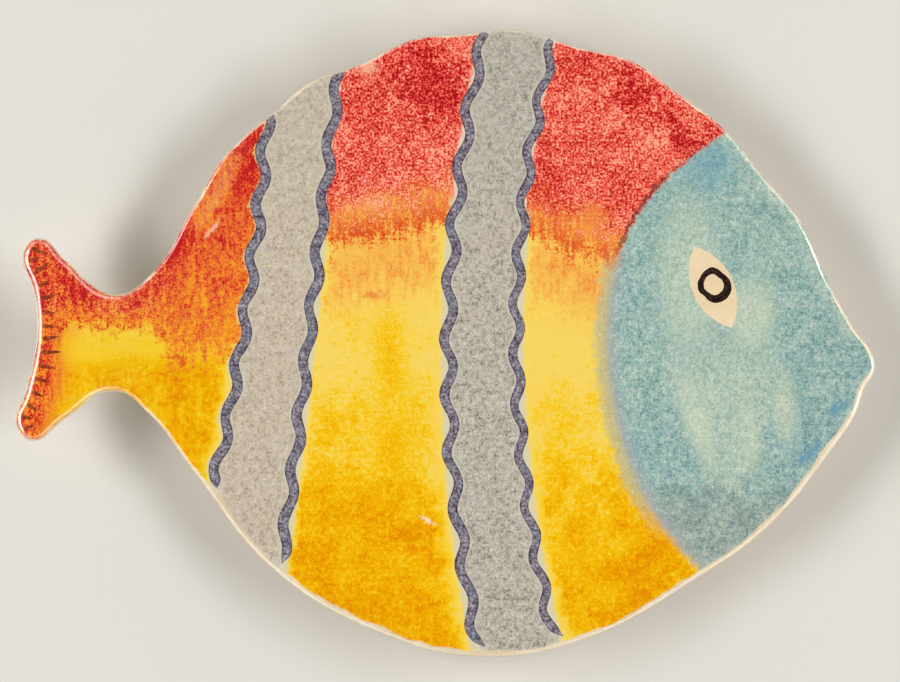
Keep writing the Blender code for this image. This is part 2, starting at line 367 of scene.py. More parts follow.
@dataclass(frozen=True)
class Section:
    """Sizes across the wall of the plate.

    Attributes:
        edge_radius: Height of the lip's rounding, above and below.
        edge_spread: How far in from the outline that rounding starts.
        rim_band: How far the rim's coat reaches in from the outline, on the face and on the back.
    """

    thickness: float = 0.0065
    edge_radius: float = 0.0026
    edge_spread: float = 0.0032
    glaze: float = 0.0005
    rim_band: float = 0.0034
    turn_steps: int = 8


@dataclass(frozen=True)
class FootRing:
    """The turned ring that the plate stands on, with its land wiped bare.

    Attributes:
        bare: How high the glaze stops above the land.
        fillet: Softness of the corner between the ring and the back.
        worn: Softness of the land's edges.
        land_shares: Where rings of points lie on each half of the land.
        wall_steps: Rings of points down each wall, and nearly as many past it.
    """

    diameter: float = 0.106
    land: float = 0.0055
    flare: float = 0.0012
    height: float = 0.0036
    bare: float = 0.00135
    fillet: float = 0.0011
    worn: float = 0.0005
    land_shares: Tuple[float, ...] = (0.0, 0.35, 0.7, 0.9, 1.0)
    wall_steps: int = 8
    steps: int = 192

    @property
    def wall_slope(self) -> float:
        """Rise of the ring's walls over their flare."""
        return self.height / self.flare

    def drop(self, radius: float, back: float) -> float:
        """Height of the underside at a radius from the ring's middle.

        Args:
            radius: Distance from the middle of the foot ring.
            back: Height of the clay's back there, without the ring.

        Returns:
            The height with the ring, its fillets and its worn edges.
        """
        out = abs(radius - self.diameter / 2) - self.land / 2
        wall = soft_most(out * self.wall_slope, 0.0, self.worn)
        return soft_least(wall, back, self.fillet)

    def radii(self) -> List[float]:
        """Set out the rings of points that carry the foot's profile.

        Returns:
            Their radii.
        """
        half = self.land / 2
        past = range(1, 2 * self.wall_steps - 1)
        steps = [half * share for share in self.land_shares]
        steps += [half + self.flare * step / self.wall_steps for step in past]
        return sorted({self.diameter / 2 + side * step for side in (-1, 1) for step in steps})

    def glaze_line(self, side: int) -> float:
        """Radius at which the glaze stops on the outer (1) or inner (-1) wall."""
        return self.diameter / 2 + side * (self.land / 2 + self.bare / self.wall_slope)


def soft_least(first: float, second: float, softness: float) -> float:
    """The smaller of two heights, with the corner between them rounded off."""
    share = max(softness - abs(first - second), 0.0) / softness
    return min(first, second) - share * share * softness / 4


def soft_most(first: float, second: float, softness: float) -> float:
    """The larger of two heights, with the corner between them rounded off."""
    return -soft_least(-first, -second, softness)


@dataclass(frozen=True)
class Dish:
    """The rule that dishes the plate: a flat oval well, walls that curve up, and a tail that levels out.

    Attributes:
        sway: How far the hand-made face swings from the rule.
        sway_size: From one swell of it to the next.
    """

    outline: FishOutline
    section: Section
    foot: FootRing
    rim_rise: float = 0.012
    well_width: float = 0.092
    sway: float = 0.00018
    sway_size: float = 0.045

    @property
    def floor_share(self) -> float:
        """The flat well's share of the body's oval."""
        return self.well_width / self.outline.body_height

    def share(self, x: float, y: float) -> float:
        """How far up the wall a place is.

        Args:
            x: Place along the plate.
            y: Place across it.

        Returns:
            0 on the flat floor, 1 on the oval through back, belly, snout and neck.
        """
        fish = self.outline
        oval = math.hypot((x - fish.middle) / fish.half_length, y / fish.half_height)
        return max(0.0, (oval - self.floor_share) / (1 - self.floor_share))

    @property
    def level_share(self) -> float:
        """How far past the oval the tail is level again."""
        return self.share(self.outline.tail_end, 0) - 1

    @property
    def floor_height(self) -> float:
        """Height of the glazed floor of the well."""
        return self.foot.height + self.section.thickness

    def height(self, x: float, y: float) -> float:
        """Height of the glazed face at a place.

        Args:
            x: Place along the plate.
            y: Place across it.

        Returns:
            The height over the ground.
        """
        share = self.share(x, y)
        beyond = max(0.0, share - 1)
        rise = min(share, 1.0) ** 2 + 2 * beyond - beyond ** 2 / self.level_share
        return self.floor_height + self.rim_rise * rise


@dataclass(frozen=True)
class BrushLine:
    """A line brushed from belly to back, in millimetres, bowed and waved by hand.

    Attributes:
        at: Place along the plate at half height.
        lean: Shift towards the mouth from half height to the back.
        bow: Shift towards the mouth at both belly and back.
        swing: Swing of the waves to each side.
        phase: Where the first wave starts, in radians.
        shake: How far the hand strays from the waves.
        shake_size: From one such stray to the next.
        half_height: Height at which the shifts are as said.
        twist: Further shift towards the mouth at the back, and away from it at the belly.
        flare: Further shift towards the mouth close to both belly and back.
        hook: How far the brush swept towards the mouth as it was lifted at the belly.
        hook_from: Height at which it began to.
        hook_span: How much lower it had swept as far as hook.
    """

    at: float
    lean: float
    bow: float
    swing: float = 0.0
    pitch: float = 17.5
    phase: float = 0.0
    width: float = 3.2
    shake: float = 0.35
    half_height: float = 101.0
    twist: float = 0.0
    flare: float = 0.0
    hook: float = 0.0
    hook_from: float = -91.0
    hook_span: float = 6.0
    shake_size: float = 9.0

    def place(self, y: float) -> float:
        """Follow the line with the hand's own wander.

        Args:
            y: Height, in millimetres.

        Returns:
            The line's place along the plate there.
        """
        share = y / self.half_height
        wave = self.swing * math.sin(2 * math.pi * y / self.pitch + self.phase)
        stray = self.shake * noise.noise(Vector((y / self.shake_size, self.at, 0))) if self.swing else 0.0
        sweep = share * (self.lean + share * (self.bow + share * (self.twist + share * self.flare)))
        lift = self.hook * (max(0.0, self.hook_from - y) / self.hook_span) ** 2
        return self.at + sweep + wave + stray + lift

    def room(self, place: "Place", waved: bool = True) -> Wire:
        """How far a place lies on the mouth's side of the line's middle, square to the line.

        Args:
            place: Where on the plate.
            waved: Whether the line's waves count, or only its sweep.

        Returns:
            The distance in millimetres, negative on the tail's side.
        """
        bench = place.x.bench
        share = place.y / self.half_height
        line = share * (share * (share * (share * self.flare + self.twist) + self.bow) + self.lean)
        line = line + self.at
        bend = share * (share * (share * (4 * self.flare) + 3 * self.twist) + 2 * self.bow) + self.lean
        slope = bend / self.half_height
        if waved and self.swing:
            wave = bench.math("SINE", place.y * (2 * math.pi / self.pitch) + self.phase)
            line = line + wave * self.swing
        return (place.x - line) / bench.math("SQRT", slope * slope + 1.0)


@dataclass(frozen=True)
class EyeShape:
    """The almond of the eye and the ring brushed on it.

    Attributes:
        tilt: Turn of the almond from the plate's length, in degrees.
        ring_start: Where the ring's peak is, in degrees from the mouth's side.
        ring_heavy: Where the brush was pressed hardest, in radians from the same side.
        ring_lift: How much nearer the back the ring is than the middle of the almond.
    """

    from_snout: float = 0.0516
    rise: float = 0.018
    length: float = 0.029
    width: float = 0.0134
    tilt: float = 114.5
    ring_diameter: float = 0.0112
    ring_width: float = 0.0022
    ring_start: float = 95.0
    ring_heavy: float = -0.8
    ring_lift: float = 0.0009
    steps: int = 28
    ring_steps: int = 84

    @property
    def ring_radius(self) -> float:
        """From the middle of the eye to the middle of the brushed ring."""
        return (self.ring_diameter - self.ring_width) / 2

    def centre(self, outline: FishOutline) -> Vector:
        """The middle of the eye."""
        return Vector((outline.snout - self.from_snout, self.rise))

    def almond(self, outline: FishOutline) -> List[Vector]:
        """Draw two equal arcs that meet in points.

        Args:
            outline: The fish that the eye belongs to.

        Returns:
            Points along both, anticlockwise.
        """
        half = self.length / 2
        radius = (half ** 2 + (self.width / 2) ** 2) / self.width
        opening = math.asin(half / radius)
        turns = [opening * (2 * step / self.steps - 1) for step in range(self.steps)]
        inward = self.width / 2 - radius
        arc = [Vector((radius * math.cos(turn) + inward, radius * math.sin(turn))) for turn in turns]
        spin = math.radians(self.tilt - 90)
        across = Vector((math.cos(spin), math.sin(spin)))
        along = Vector((-across.y, across.x))
        both = arc + [-point for point in arc]
        return [self.centre(outline) + across * point.x + along * point.y for point in both]

    def ring(self, outline: FishOutline) -> Tuple[List[Vector], List[float]]:
        """Draw the ring by hand, from its peak round by the tail's side.

        Args:
            outline: The fish that the eye belongs to.

        Returns:
            Points along the middle of the stroke, and how hard the brush was pressed at each.
        """
        points = []
        presses = []
        middle = self.centre(outline) + Vector((0, self.ring_lift))
        for step in range(self.ring_steps):
            drawn = 2 * math.pi * step / self.ring_steps
            turn = drawn + math.radians(self.ring_start)
            way = Vector((math.cos(turn), math.sin(turn)))
            heavy = max(0.0, way.x * math.cos(self.ring_heavy) + way.y * math.sin(self.ring_heavy)) ** 2
            peak = max(0.0, math.cos(drawn)) ** 24
            corner = math.cos(4 * drawn)
            stray = 0.05 * noise.noise(Vector((way.x * 1.4, way.y * 1.4, 4.7)))
            stray += 0.04 * noise.noise(Vector((way.x * 3.1, way.y * 3.1, 1.3)))
            reach = 0.9 + stray + 0.025 * corner + 0.09 * peak + 0.19 * heavy
            points.append(middle + way * self.ring_radius * reach)
            presses.append(0.9 + 0.45 * heavy + 0.1 * peak)
        return points, presses


LINES: Dict[str, BrushLine] = {
    "rear_stripe_tail_line": BrushLine(-66.3, 16.2, -6.0, 1.30, 16.98, 0.61, 3.5),
    "rear_stripe_head_line": BrushLine(-44.7, 11.0, -1.4, 1.15, 17.56, 0.33, 3.6, twist=1.5, flare=1.5),
    "front_stripe_tail_line": BrushLine(0.7, 0.9, 11.0, 1.50, 18.66, 4.17, 3.4, hook=1.3),
    "front_stripe_head_line": BrushLine(22.7, -0.4, 13.1, 1.33, 16.60, 6.15, 3.1, hook=5.0),
}
HEAD_LINE = BrushLine(52.2, -2.1, 45.0, twist=27.5, flare=54.4)


# Flat sheets and the areas they are cut from


def as_mesh(item: Object) -> Mesh:
    """The object as its modifiers shape it, as a plain mesh."""
    depsgraph = bpy.context.evaluated_depsgraph_get()
    return bpy.data.meshes.new_from_object(item.evaluated_get(depsgraph))


def inset(loop: Sequence[Vector], distance: float) -> List[Vector]:
    """Move a closed loop inwards.

    Args:
        loop: Its points, anticlockwise.
        distance: How far.

    Returns:
        The moved points.
    """
    moved = []
    for here, point in enumerate(loop):
        along = (loop[(here + 1) % len(loop)] - loop[here - 1]).normalized()
        moved.append(point + Vector((-along.y, along.x)) * distance)
    return moved


def circle(centre: Vector, radius: float, steps: int) -> List[Vector]:
    """Points round a circle, anticlockwise."""
    turns = [2 * math.pi * step / steps for step in range(steps)]
    return [centre + Vector((math.cos(turn), math.sin(turn))) * radius for turn in turns]


@dataclass
class Sheet:
    """A surface still flat on the bench, where z is its height over the glazed face.

    Attributes:
        faces: The points of each face, anticlockwise seen from outside.
        lip: How far in from the outline each point lies along the surface, negative past the edge.
    """

    points: List[Vector] = field(default_factory=list)
    faces: List[Tuple[int, ...]] = field(default_factory=list)
    lip: List[float] = field(default_factory=list)

    def extend(self, other: "Sheet") -> "Sheet":
        """Take in another sheet.

        Args:
            other: The sheet that is taken in.

        Returns:
            This sheet.
        """
        start = len(self.points)
        self.points += other.points
        self.lip += other.lip
        self.faces += [tuple(start + corner for corner in face) for face in other.faces]
        return self

    def turned(self) -> "Sheet":
        """The same sheet, facing the other way."""
        return Sheet(list(self.points), [face[::-1] for face in self.faces], list(self.lip))

    def object(self, name: str) -> Object:
        """Make an object of the sheet, with its doubles merged.

        Args:
            name: The object's name.

        Returns:
            The unlinked object, with the lip as an attribute of its points.
        """
        mesh = bpy.data.meshes.new(name)
        mesh.from_pydata(self.points, [], self.faces)
        mark = mesh.attributes.new("lip", "FLOAT", "POINT")
        mark.data.foreach_set("value", self.lip)
        shape = bmesh.new()
        shape.from_mesh(mesh)
        bmesh.ops.remove_doubles(shape, verts=shape.verts, dist=WELD)
        shape.to_mesh(mesh)
        shape.free()
        return bpy.data.objects.new(name, mesh)


def band(rings: Sequence[Sequence[Vector]], lips: Sequence[float], closed: bool) -> Sheet:
    """Faces from ring to ring.

    Args:
        rings: Closed rings of as many points each, from the face outwards and round to the back.
        lips: How far in from the outline each ring lies.
        closed: Whether the last ring is joined to the first.

    Returns:
        The band as a sheet that faces outwards.
    """
    count = len(rings[0])
    sheet = Sheet([point for ring in rings for point in ring])
    sheet.lip = [lip for lip in lips for _ in range(count)]
    starts = [number * count for number in range(len(rings))]
    pairs = list(zip(starts, starts[1:]))
    if closed:
        pairs.append((starts[-1], starts[0]))
    for first, second in pairs:
        for here in range(count):
            there = (here + 1) % count
            sheet.faces.append((first + here, second + here, second + there, first + there))
    return sheet


class Patchwork:
    """Flat areas that share their edges, cut into small triangles of about one size.

    Attributes:
        CLEARANCE: How near an edge an inner point may lie, as a share of the spacing.
    """

    CLEARANCE = 0.7

    def __init__(self, loops: Dict[str, List[Vector]], spacing: float) -> None:
        """Cut the areas.

        Args:
            loops: Named outlines, anticlockwise, which may cross each other.
            spacing: From one inner point to the next.
        """
        self.names = list(loops)
        points = []
        outlines = []
        for loop in loops.values():
            outlines.append(list(range(len(points), len(points) + len(loop))))
            points += loop
        points += self.grid(points, spacing)
        cut = delaunay_2d_cdt(points, [], outlines, 1, WELD)
        self.places, self.triangles, self.owners = cut[0], cut[2], cut[5]

    @classmethod
    def grid(cls, edges: List[Vector], spacing: float) -> List[Vector]:
        """Set out even rows of points that keep clear of the edges.

        Args:
            edges: Points along the edges.
            spacing: From one point to the next.

        Returns:
            The points.
        """
        tree = kdtree.KDTree(len(edges))
        for number, edge in enumerate(edges):
            tree.insert((*edge, 0), number)
        tree.balance()
        low = Vector((min(edge.x for edge in edges), min(edge.y for edge in edges)))
        high = Vector((max(edge.x for edge in edges), max(edge.y for edge in edges)))
        rise = spacing * math.sqrt(3) / 2
        points = []
        for row in range(int((high.y - low.y) / rise)):
            for column in range(int((high.x - low.x) / spacing)):
                point = low + Vector(((column + row % 2 / 2) * spacing, row * rise))
                if tree.find((*point, 0))[2] > cls.CLEARANCE * spacing:
                    points.append(point)
        return points

    def sheet(self, inside: Sequence[str], outside: Sequence[str], height: Callable[[Vector], float],
              lip: Callable[[Vector], float]) -> Sheet:
        """What lies in all of some areas and in none of some others.

        Args:
            inside: Names of the areas that it lies in.
            outside: Names of the areas that are left out.
            height: Height over the glazed face at a place.
            lip: Distance from the outline at a place.

        Returns:
            The sheet, facing up.
        """
        wanted = {self.names.index(name) for name in inside}
        unwanted = {self.names.index(name) for name in outside}
        sheet = Sheet()
        numbers: Dict[int, int] = {}
        for triangle, owner in zip(self.triangles, self.owners):
            if not wanted <= set(owner) or unwanted & set(owner):
                continue
            for corner in triangle:
                if corner not in numbers:
                    numbers[corner] = len(sheet.points)
                    place = self.places[corner]
                    sheet.points.append(Vector((place.x, place.y, height(place))))
                    sheet.lip.append(lip(place))
            sheet.faces.append(tuple(numbers[corner] for corner in triangle))
        return sheet


class PlateTrees:
    """The Geometry Nodes trees that give the plate its forms."""

    def __init__(self, dish: Dish) -> None:
        """Build every tree once.

        Args:
            dish: The rule that the plate is dished by.
        """
        self.dish = dish
        self.rule = self.dish_rule()
        self.coat = self.coat_tree()
        self.solid = self.solid_tree()
        self.brush = self.brush_tree()
        self.strokes = self.stroke_tree()

    @staticmethod
    def start(name: str, sizes: Dict[str, float], others: Dict[str, str]) -> Tuple[Bench, Dict[str, Wire]]:
        """A new tree with a geometry input and output.

        Args:
            name: The tree's name.
            sizes: Its number inputs and their usual values.
            others: Its other inputs and their kinds.

        Returns:
            The tree's bench and its inputs by name.
        """
        tree = bpy.data.node_groups.new(name, "GeometryNodeTree")
        tree.interface.new_socket("Geometry", in_out="OUTPUT", socket_type="NodeSocketGeometry")
        tree.interface.new_socket("Geometry", in_out="INPUT", socket_type="NodeSocketGeometry")
        for title, value in sizes.items():
            size = tree.interface.new_socket(title, in_out="INPUT", socket_type="NodeSocketFloat")
            size.default_value = value
        for title, kind in others.items():
            tree.interface.new_socket(title, in_out="INPUT", socket_type=kind)
        bench = Bench(tree)
        given = bench.add("NodeGroupInput").outputs
        return bench, {socket.name: bench.wire(socket) for socket in given if socket.name}

    @staticmethod
    def end(bench: Bench, geometry: object, finish: Optional[Wire]) -> NodeTree:
        """Close a tree, with real copies and the piece's finish.

        Args:
            bench: The tree's bench.
            geometry: What the tree gives.
            finish: The piece's finish, or None in a tree that others use.

        Returns:
            The tree.
        """
        if finish is not None:
            real = bench.add("GeometryNodeRealizeInstances", {"Geometry": geometry})
            feeds = {"Geometry": real.outputs[0], "Material": finish}
            geometry = bench.add("GeometryNodeSetMaterial", feeds).outputs[0]
        bench.add("NodeGroupOutput", {0: geometry})
        return bench.tree

    def dish_rule(self) -> NodeTree:
        """The rule that lifts a flat sheet into the dish.

        Returns:
            The tree.
        """
        dish = self.dish
        bench, given = self.start("dish_rule", {
            "Middle": dish.outline.middle, "Half Length": dish.outline.half_length,
            "Half Height": dish.outline.half_height, "Floor Share": dish.floor_share,
            "Level Share": dish.level_share, "Floor Height": dish.floor_height, "Rim Rise": dish.rim_rise,
            "Thickness": dish.section.thickness, "Sway": dish.sway, "Sway Size": dish.sway_size}, {})
        x, y, z = bench.parts(bench.add("GeometryNodeInputPosition").outputs[0])
        along = (x - given["Middle"]) / given["Half Length"]
        across = y / given["Half Height"]
        oval = bench.math("SQRT", along * along + across * across)
        share = bench.most((oval - given["Floor Share"]) / (1.0 - given["Floor Share"]), 0.0)
        wall = bench.least(share, 1.0)
        beyond = bench.most(share - 1.0, 0.0)
        rise = wall * wall + beyond * 2.0 - beyond * beyond / given["Level Share"]
        flat = bench.vector(x, y, 0.0)
        scale = bench.math("DIVIDE", 1.0, given["Sway Size"])
        swell = bench.add("ShaderNodeTexNoise", {"Vector": flat, "Scale": scale, "Detail": 2.0})
        near_face = bench.most(z / given["Thickness"] + 1.0, 0.0)
        sway = (bench.wire(swell.outputs["Fac"]) * 2.0 - 1.0) * given["Sway"] * near_face
        lift = bench.vector(0.0, 0.0, rise * given["Rim Rise"] + given["Floor Height"] + sway)
        moved = bench.add("GeometryNodeSetPosition", {"Geometry": given["Geometry"], "Offset": lift})
        return self.end(bench, moved.outputs[0], None)

    def lifted(self, bench: Bench, geometry: object) -> NodeSocket:
        """Geometry after the dish's rule, within another tree."""
        group = bench.add("GeometryNodeGroup", {"Geometry": geometry}, node_tree=self.rule)
        return group.outputs["Geometry"]

    def coat_tree(self) -> NodeTree:
        """A flat patch thickened to a coat of glaze and laid on the dish.

        Returns:
            The tree.
        """
        bench, given = self.start("glaze_coat", {"Coat": self.dish.section.glaze},
                                  {"Finish": "NodeSocketMaterial"})
        feeds = {"Mesh": given["Geometry"], "Offset Scale": given["Coat"], "Individual": False}
        top = bench.add("GeometryNodeExtrudeMesh", feeds, mode="FACES")
        base = bench.add("GeometryNodeFlipFaces", {"Mesh": given["Geometry"]})
        both = bench.add("GeometryNodeJoinGeometry")
        bench.feed(both.inputs[0], base.outputs[0])
        bench.feed(both.inputs[0], top.outputs["Mesh"])
        whole = bench.add("GeometryNodeMergeByDistance", {"Geometry": both.outputs[0], "Distance": TOUCH})
        return self.end(bench, self.lifted(bench, whole.outputs[0]), given["Finish"])

    def solid_tree(self) -> NodeTree:
        """A closed flat solid laid on the dish."""
        bench, given = self.start("dished_solid", {}, {"Finish": "NodeSocketMaterial"})
        return self.end(bench, self.lifted(bench, given["Geometry"]), given["Finish"])

    @staticmethod
    def brush_mark(bench: Bench, curve: object, width: Wire, crown: Wire, scale: Wire) -> NodeSocket:
        """A flat-based, crowned band of paint along a curve.

        Args:
            bench: The bench of the tree.
            curve: The curve that the brush follows.
            width: Width of the band.
            crown: How high its middle stands.
            scale: Share of both along the curve.

        Returns:
            The socket that gives the band's mesh.
        """
        half = width / 2.0
        ends = [bench.vector(half * side, 0.0, 0.0) for side in (-1.0, 1.0)]
        middle = bench.vector(0.0, crown * -2.0, 0.0)
        feeds = {"Resolution": 9, "Start": ends[0], "Middle": middle, "End": ends[1]}
        arch = bench.add("GeometryNodeCurveQuadraticBezier", feeds)
        across = bench.add("GeometryNodeSplineParameter").outputs["Factor"]
        feeds = {"Geometry": arch.outputs[0], "Name": "across", "Value": across}
        marked = bench.add("GeometryNodeStoreNamedAttribute", feeds, data_type="FLOAT", domain="POINT")
        profile = bench.add("GeometryNodeSetSplineCyclic", {"Geometry": marked.outputs[0], "Cyclic": True})
        level = bench.add("GeometryNodeSetCurveNormal", {"Curve": curve}, mode="Z_UP")
        feeds = {"Curve": level.outputs[0], "Profile Curve": profile.outputs[0], "Scale": scale,
                 "Fill Caps": True}
        return bench.add("GeometryNodeCurveToMesh", feeds).outputs[0]

    def draped(self, bench: Bench, geometry: object, surface: Wire, sink: Wire) -> NodeSocket:
        """Geometry let down on a surface, a little way in so that no gap shows.

        Args:
            bench: The bench of the tree.
            geometry: What is let down, flat at height 0.
            surface: The object that it comes to lie on. What is past its edge is laid against the edge.
            sink: How far in it goes.

        Returns:
            The socket that gives the draped geometry.
        """
        below = bench.add("GeometryNodeObjectInfo", {"Object": surface}, transform_space="RELATIVE")
        x, y, z = bench.parts(bench.add("GeometryNodeInputPosition").outputs[0])
        feeds = {"Target Geometry": below.outputs["Geometry"], "Source Position": bench.vector(x, y, 1.0),
                 "Ray Direction": (0, 0, -1), "Ray Length": 2.0}
        ray = bench.add("GeometryNodeRaycast", feeds)
        ground = bench.parts(ray.outputs["Hit Position"])[2]
        place = bench.vector(x, y, ground + z - sink)
        rim = self.dish.floor_height + self.dish.rim_rise
        feeds = {0: below.outputs["Geometry"], 2: bench.vector(x, y, rim)}
        near = bench.add("GeometryNodeProximity", feeds, target_element="FACES")
        edge_x, edge_y, edge_z = bench.parts(near.outputs["Position"])
        beside = bench.vector(edge_x, edge_y, edge_z + z - sink)
        feeds = {0: ray.outputs["Is Hit"], 1: beside, 2: place}
        found = bench.add("GeometryNodeSwitch", feeds, input_type="VECTOR").outputs[0]
        return bench.add("GeometryNodeSetPosition", {"Geometry": geometry, "Position": found}).outputs[0]

    def brush_tree(self) -> NodeTree:
        """A brushed line that follows a path over the face.

        Returns:
            The tree.
        """
        sizes = {"Width": 0.0034, "Crown": 0.0001, "Sink": 0.000012, "Unevenness": 0.2, "Grain": 0.007,
                 "Point": 0.03, "Taper": 0.02, "Seed": 0.0}
        bench, given = self.start("brushed_line", sizes,
                                  {"Surface": "NodeSocketObject", "Finish": "NodeSocketMaterial"})
        curve = bench.add("GeometryNodeMeshToCurve", {"Mesh": given["Geometry"]})
        x, y, _ = bench.parts(bench.add("GeometryNodeInputPosition").outputs[0])
        scale = bench.math("DIVIDE", 1.0, given["Grain"])
        feeds = {"Vector": bench.vector(x, y, given["Seed"]), "Scale": scale, "Detail": 1.5}
        press = bench.wire(bench.add("ShaderNodeTexNoise", feeds).outputs["Fac"]) * 2.0 - 1.0
        along = bench.wire(bench.add("GeometryNodeSplineParameter").outputs["Factor"])
        lifted = bench.ramp(along, -0.004, given["Point"])
        lifted = lifted * bench.ramp(1.0 - along, given["Taper"] * -3.0, given["Taper"])
        hand = bench.add("GeometryNodeInputNamedAttribute", {"Name": "press"}, data_type="FLOAT")
        share = (press * given["Unevenness"] + 1.0) * lifted * bench.wire(hand.outputs["Attribute"])
        mark = self.brush_mark(bench, curve.outputs[0], given["Width"], given["Crown"], share)
        return self.end(bench, self.draped(bench, mark, given["Surface"], given["Sink"]), given["Finish"])

    def stroke_tree(self) -> NodeTree:
        """Short tapered strokes set along the end of the tail, pointing in.

        Returns:
            The tree.
        """
        sizes = {"Count": 15.0, "Length": 0.0058, "Width": 0.0017, "Crown": 0.00005, "Sink": 0.000004,
                 "Turn": 0.24, "Seed": 3.0}
        bench, given = self.start("tail_strokes", sizes,
                                  {"Surface": "NodeSocketObject", "Finish": "NodeSocketMaterial"})
        line = bench.add("GeometryNodeCurvePrimitiveLine", {"End": bench.vector(given["Length"], 0.0, 0.0)})
        fine = bench.add("GeometryNodeResampleCurve", {"Curve": line.outputs[0], "Count": 12})
        along = bench.wire(bench.add("GeometryNodeSplineParameter").outputs["Factor"])
        taper = bench.math("POWER", 1.0 - along, 0.6) * bench.ramp(along, -0.25, 0.2) + 0.04
        mark = self.brush_mark(bench, fine.outputs[0], given["Width"], given["Crown"], taper)
        edge = bench.add("GeometryNodeMeshToCurve", {"Mesh": given["Geometry"]})
        level = bench.add("GeometryNodeSetCurveNormal", {"Curve": edge.outputs[0]}, mode="Z_UP")
        spots = bench.add("GeometryNodeCurveToPoints", {"Curve": level.outputs[0], "Count": given["Count"]})
        feeds = {0: spots.outputs["Normal"], "Scale": -1.0}
        turned_in = bench.add("ShaderNodeVectorMath", feeds, operation="SCALE")
        inward = bench.add("FunctionNodeAlignRotationToVector", {"Vector": turned_in.outputs[0]}, axis="X")
        low = 0.0 - given["Turn"]
        swing = bench.add("FunctionNodeRandomValue", {2: low, 3: given["Turn"], "Seed": given["Seed"]})
        angles = bench.vector(0.0, 0.0, bench.wire(swing.outputs[1]))
        spin = bench.add("FunctionNodeEulerToRotation", {0: angles})
        turned = bench.add("FunctionNodeRotateRotation",
                           {"Rotation": inward.outputs[0], "Rotate By": spin.outputs[0]})
        feeds = {2: 0.55, 3: 1.15, "Seed": given["Seed"] + 1.0}
        size = bench.wire(bench.add("FunctionNodeRandomValue", feeds).outputs[1])
        feeds = {"Points": spots.outputs["Points"], "Instance": mark, "Rotation": turned.outputs[0],
                 "Scale": bench.vector(size, 1.0, 1.0)}
        copies = bench.add("GeometryNodeInstanceOnPoints", feeds)
        real = bench.add("GeometryNodeRealizeInstances", {"Geometry": copies.outputs[0]})
        return self.end(bench, self.draped(bench, real.outputs[0], given["Surface"], given["Sink"]),
                        given["Finish"])


@dataclass
class Potter:
    """Makes pieces from flat sheets and paths, and hangs each one on the plate's body."""

    trees: PlateTrees
    made: List[Object] = field(default_factory=list)

    @staticmethod
    def shape(item: Object, tree: NodeTree, inputs: Dict[str, object]) -> Object:
        """Run a tree on an unlinked object and keep the result as its plain mesh.

        Args:
            item: The object with the flat sheet or the path.
            tree: The tree that shapes it.
            inputs: The tree's inputs by name.

        Returns:
            The same object, linked, with no modifier left.
        """
        modifier = item.modifiers.new("shape", "NODES")
        modifier.node_group = tree
        sockets = {socket.name: socket for socket in tree.interface.items_tree if socket.in_out == "INPUT"}
        for title, value in inputs.items():
            modifier[sockets[title].identifier] = value
        bpy.context.scene.collection.objects.link(item)
        mesh = as_mesh(item)
        item.modifiers.clear()
        item.data = mesh
        mesh.shade_smooth()
        mesh.set_sharp_from_angle(angle=SMOOTH_ANGLE)
        return item

    def hand_over(self, item: Object, slot: Slot, *nodes: str) -> None:
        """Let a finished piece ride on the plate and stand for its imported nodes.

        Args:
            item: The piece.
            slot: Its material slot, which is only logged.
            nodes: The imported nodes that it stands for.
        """
        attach(item, BODY)
        if nodes:
            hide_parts(*nodes)
        item.data.calc_loop_triangles()
        LOG.info("%s: %d triangles, slot %s", item.name, len(item.data.loop_triangles), slot.value)
        self.made.append(item)


# Finishes


@dataclass(frozen=True)
class Place:
    """Where on the plate a shader is, in millimetres.

    Attributes:
        lip: In from the outline, negative past the edge of the lip.
    """

    x: Wire
    y: Wire
    lip: Wire

    def grain(self, size: float, seed: int, detail: float = 0.0, long: float = 1.0) -> Wire:
        """Soft blotches that swing about as far as 1 to each side of 0.

        Args:
            size: From blotch to blotch, in millimetres.
            seed: Which pattern of blotches.
            detail: How many finer layers are in them.
            long: How much longer than wide they are, along the height of the body.

        Returns:
            The blotches as a wire.
        """
        bench = self.x.bench
        spot = bench.vector(self.x + seed * SEED_SHIFT[0], self.y / long - seed * SEED_SHIFT[1], 0.0)
        feeds = {"Vector": spot, "Scale": 1 / size, "Detail": detail}
        node = bench.add("ShaderNodeTexNoise", feeds, noise_dimensions="2D")
        return (bench.wire(node.outputs["Fac"]) - 0.5) * NOISE_GAIN

    def sponge(self, seed: int) -> Tuple[Wire, Wire, Wire, Wire]:
        """What a sponge leaves, from its fine pores up to the drift from dab to dab."""
        return (self.grain(0.72, seed, 1.0), self.grain(1.9, seed + 1, 1.0), self.grain(7.0, seed + 2, 1.5),
                self.grain(24.0, seed + 3, 1.0))


@dataclass(frozen=True)
class Smudge:
    """An oval patch where the hand laid more paint or less, in millimetres.

    Attributes:
        wide: Half of its width.
        high: Half of its height.
        strength: Its share in the middle, negative for less paint.
        tilt: How far it is turned, in degrees.
    """

    x: float
    y: float
    wide: float
    high: float
    strength: float = 0.6
    tilt: float = 0.0

    def share(self, place: Place, ragged: Wire) -> Wire:
        """How much of the patch there is at a place.

        Args:
            place: Where on the plate.
            ragged: How ragged its edge is there.

        Returns:
            The share.
        """
        bench = place.x.bench
        turn = math.radians(self.tilt)
        off_x = place.x - self.x
        off_y = place.y - self.y
        along = (off_x * math.cos(turn) + off_y * math.sin(turn)) / self.wide
        across = (off_y * math.cos(turn) - off_x * math.sin(turn)) / self.high
        out = bench.math("SQRT", along * along + across * across)
        return bench.ramp(out + ragged, 1.2, 0.3) * self.strength


@dataclass(frozen=True)
class Dab(Smudge):
    """A patch laid over the rest in a colour of its own: most are paint, and two pale ones are painted
    highlights.
    """

    colour: Rgb = (190, 30, 34)


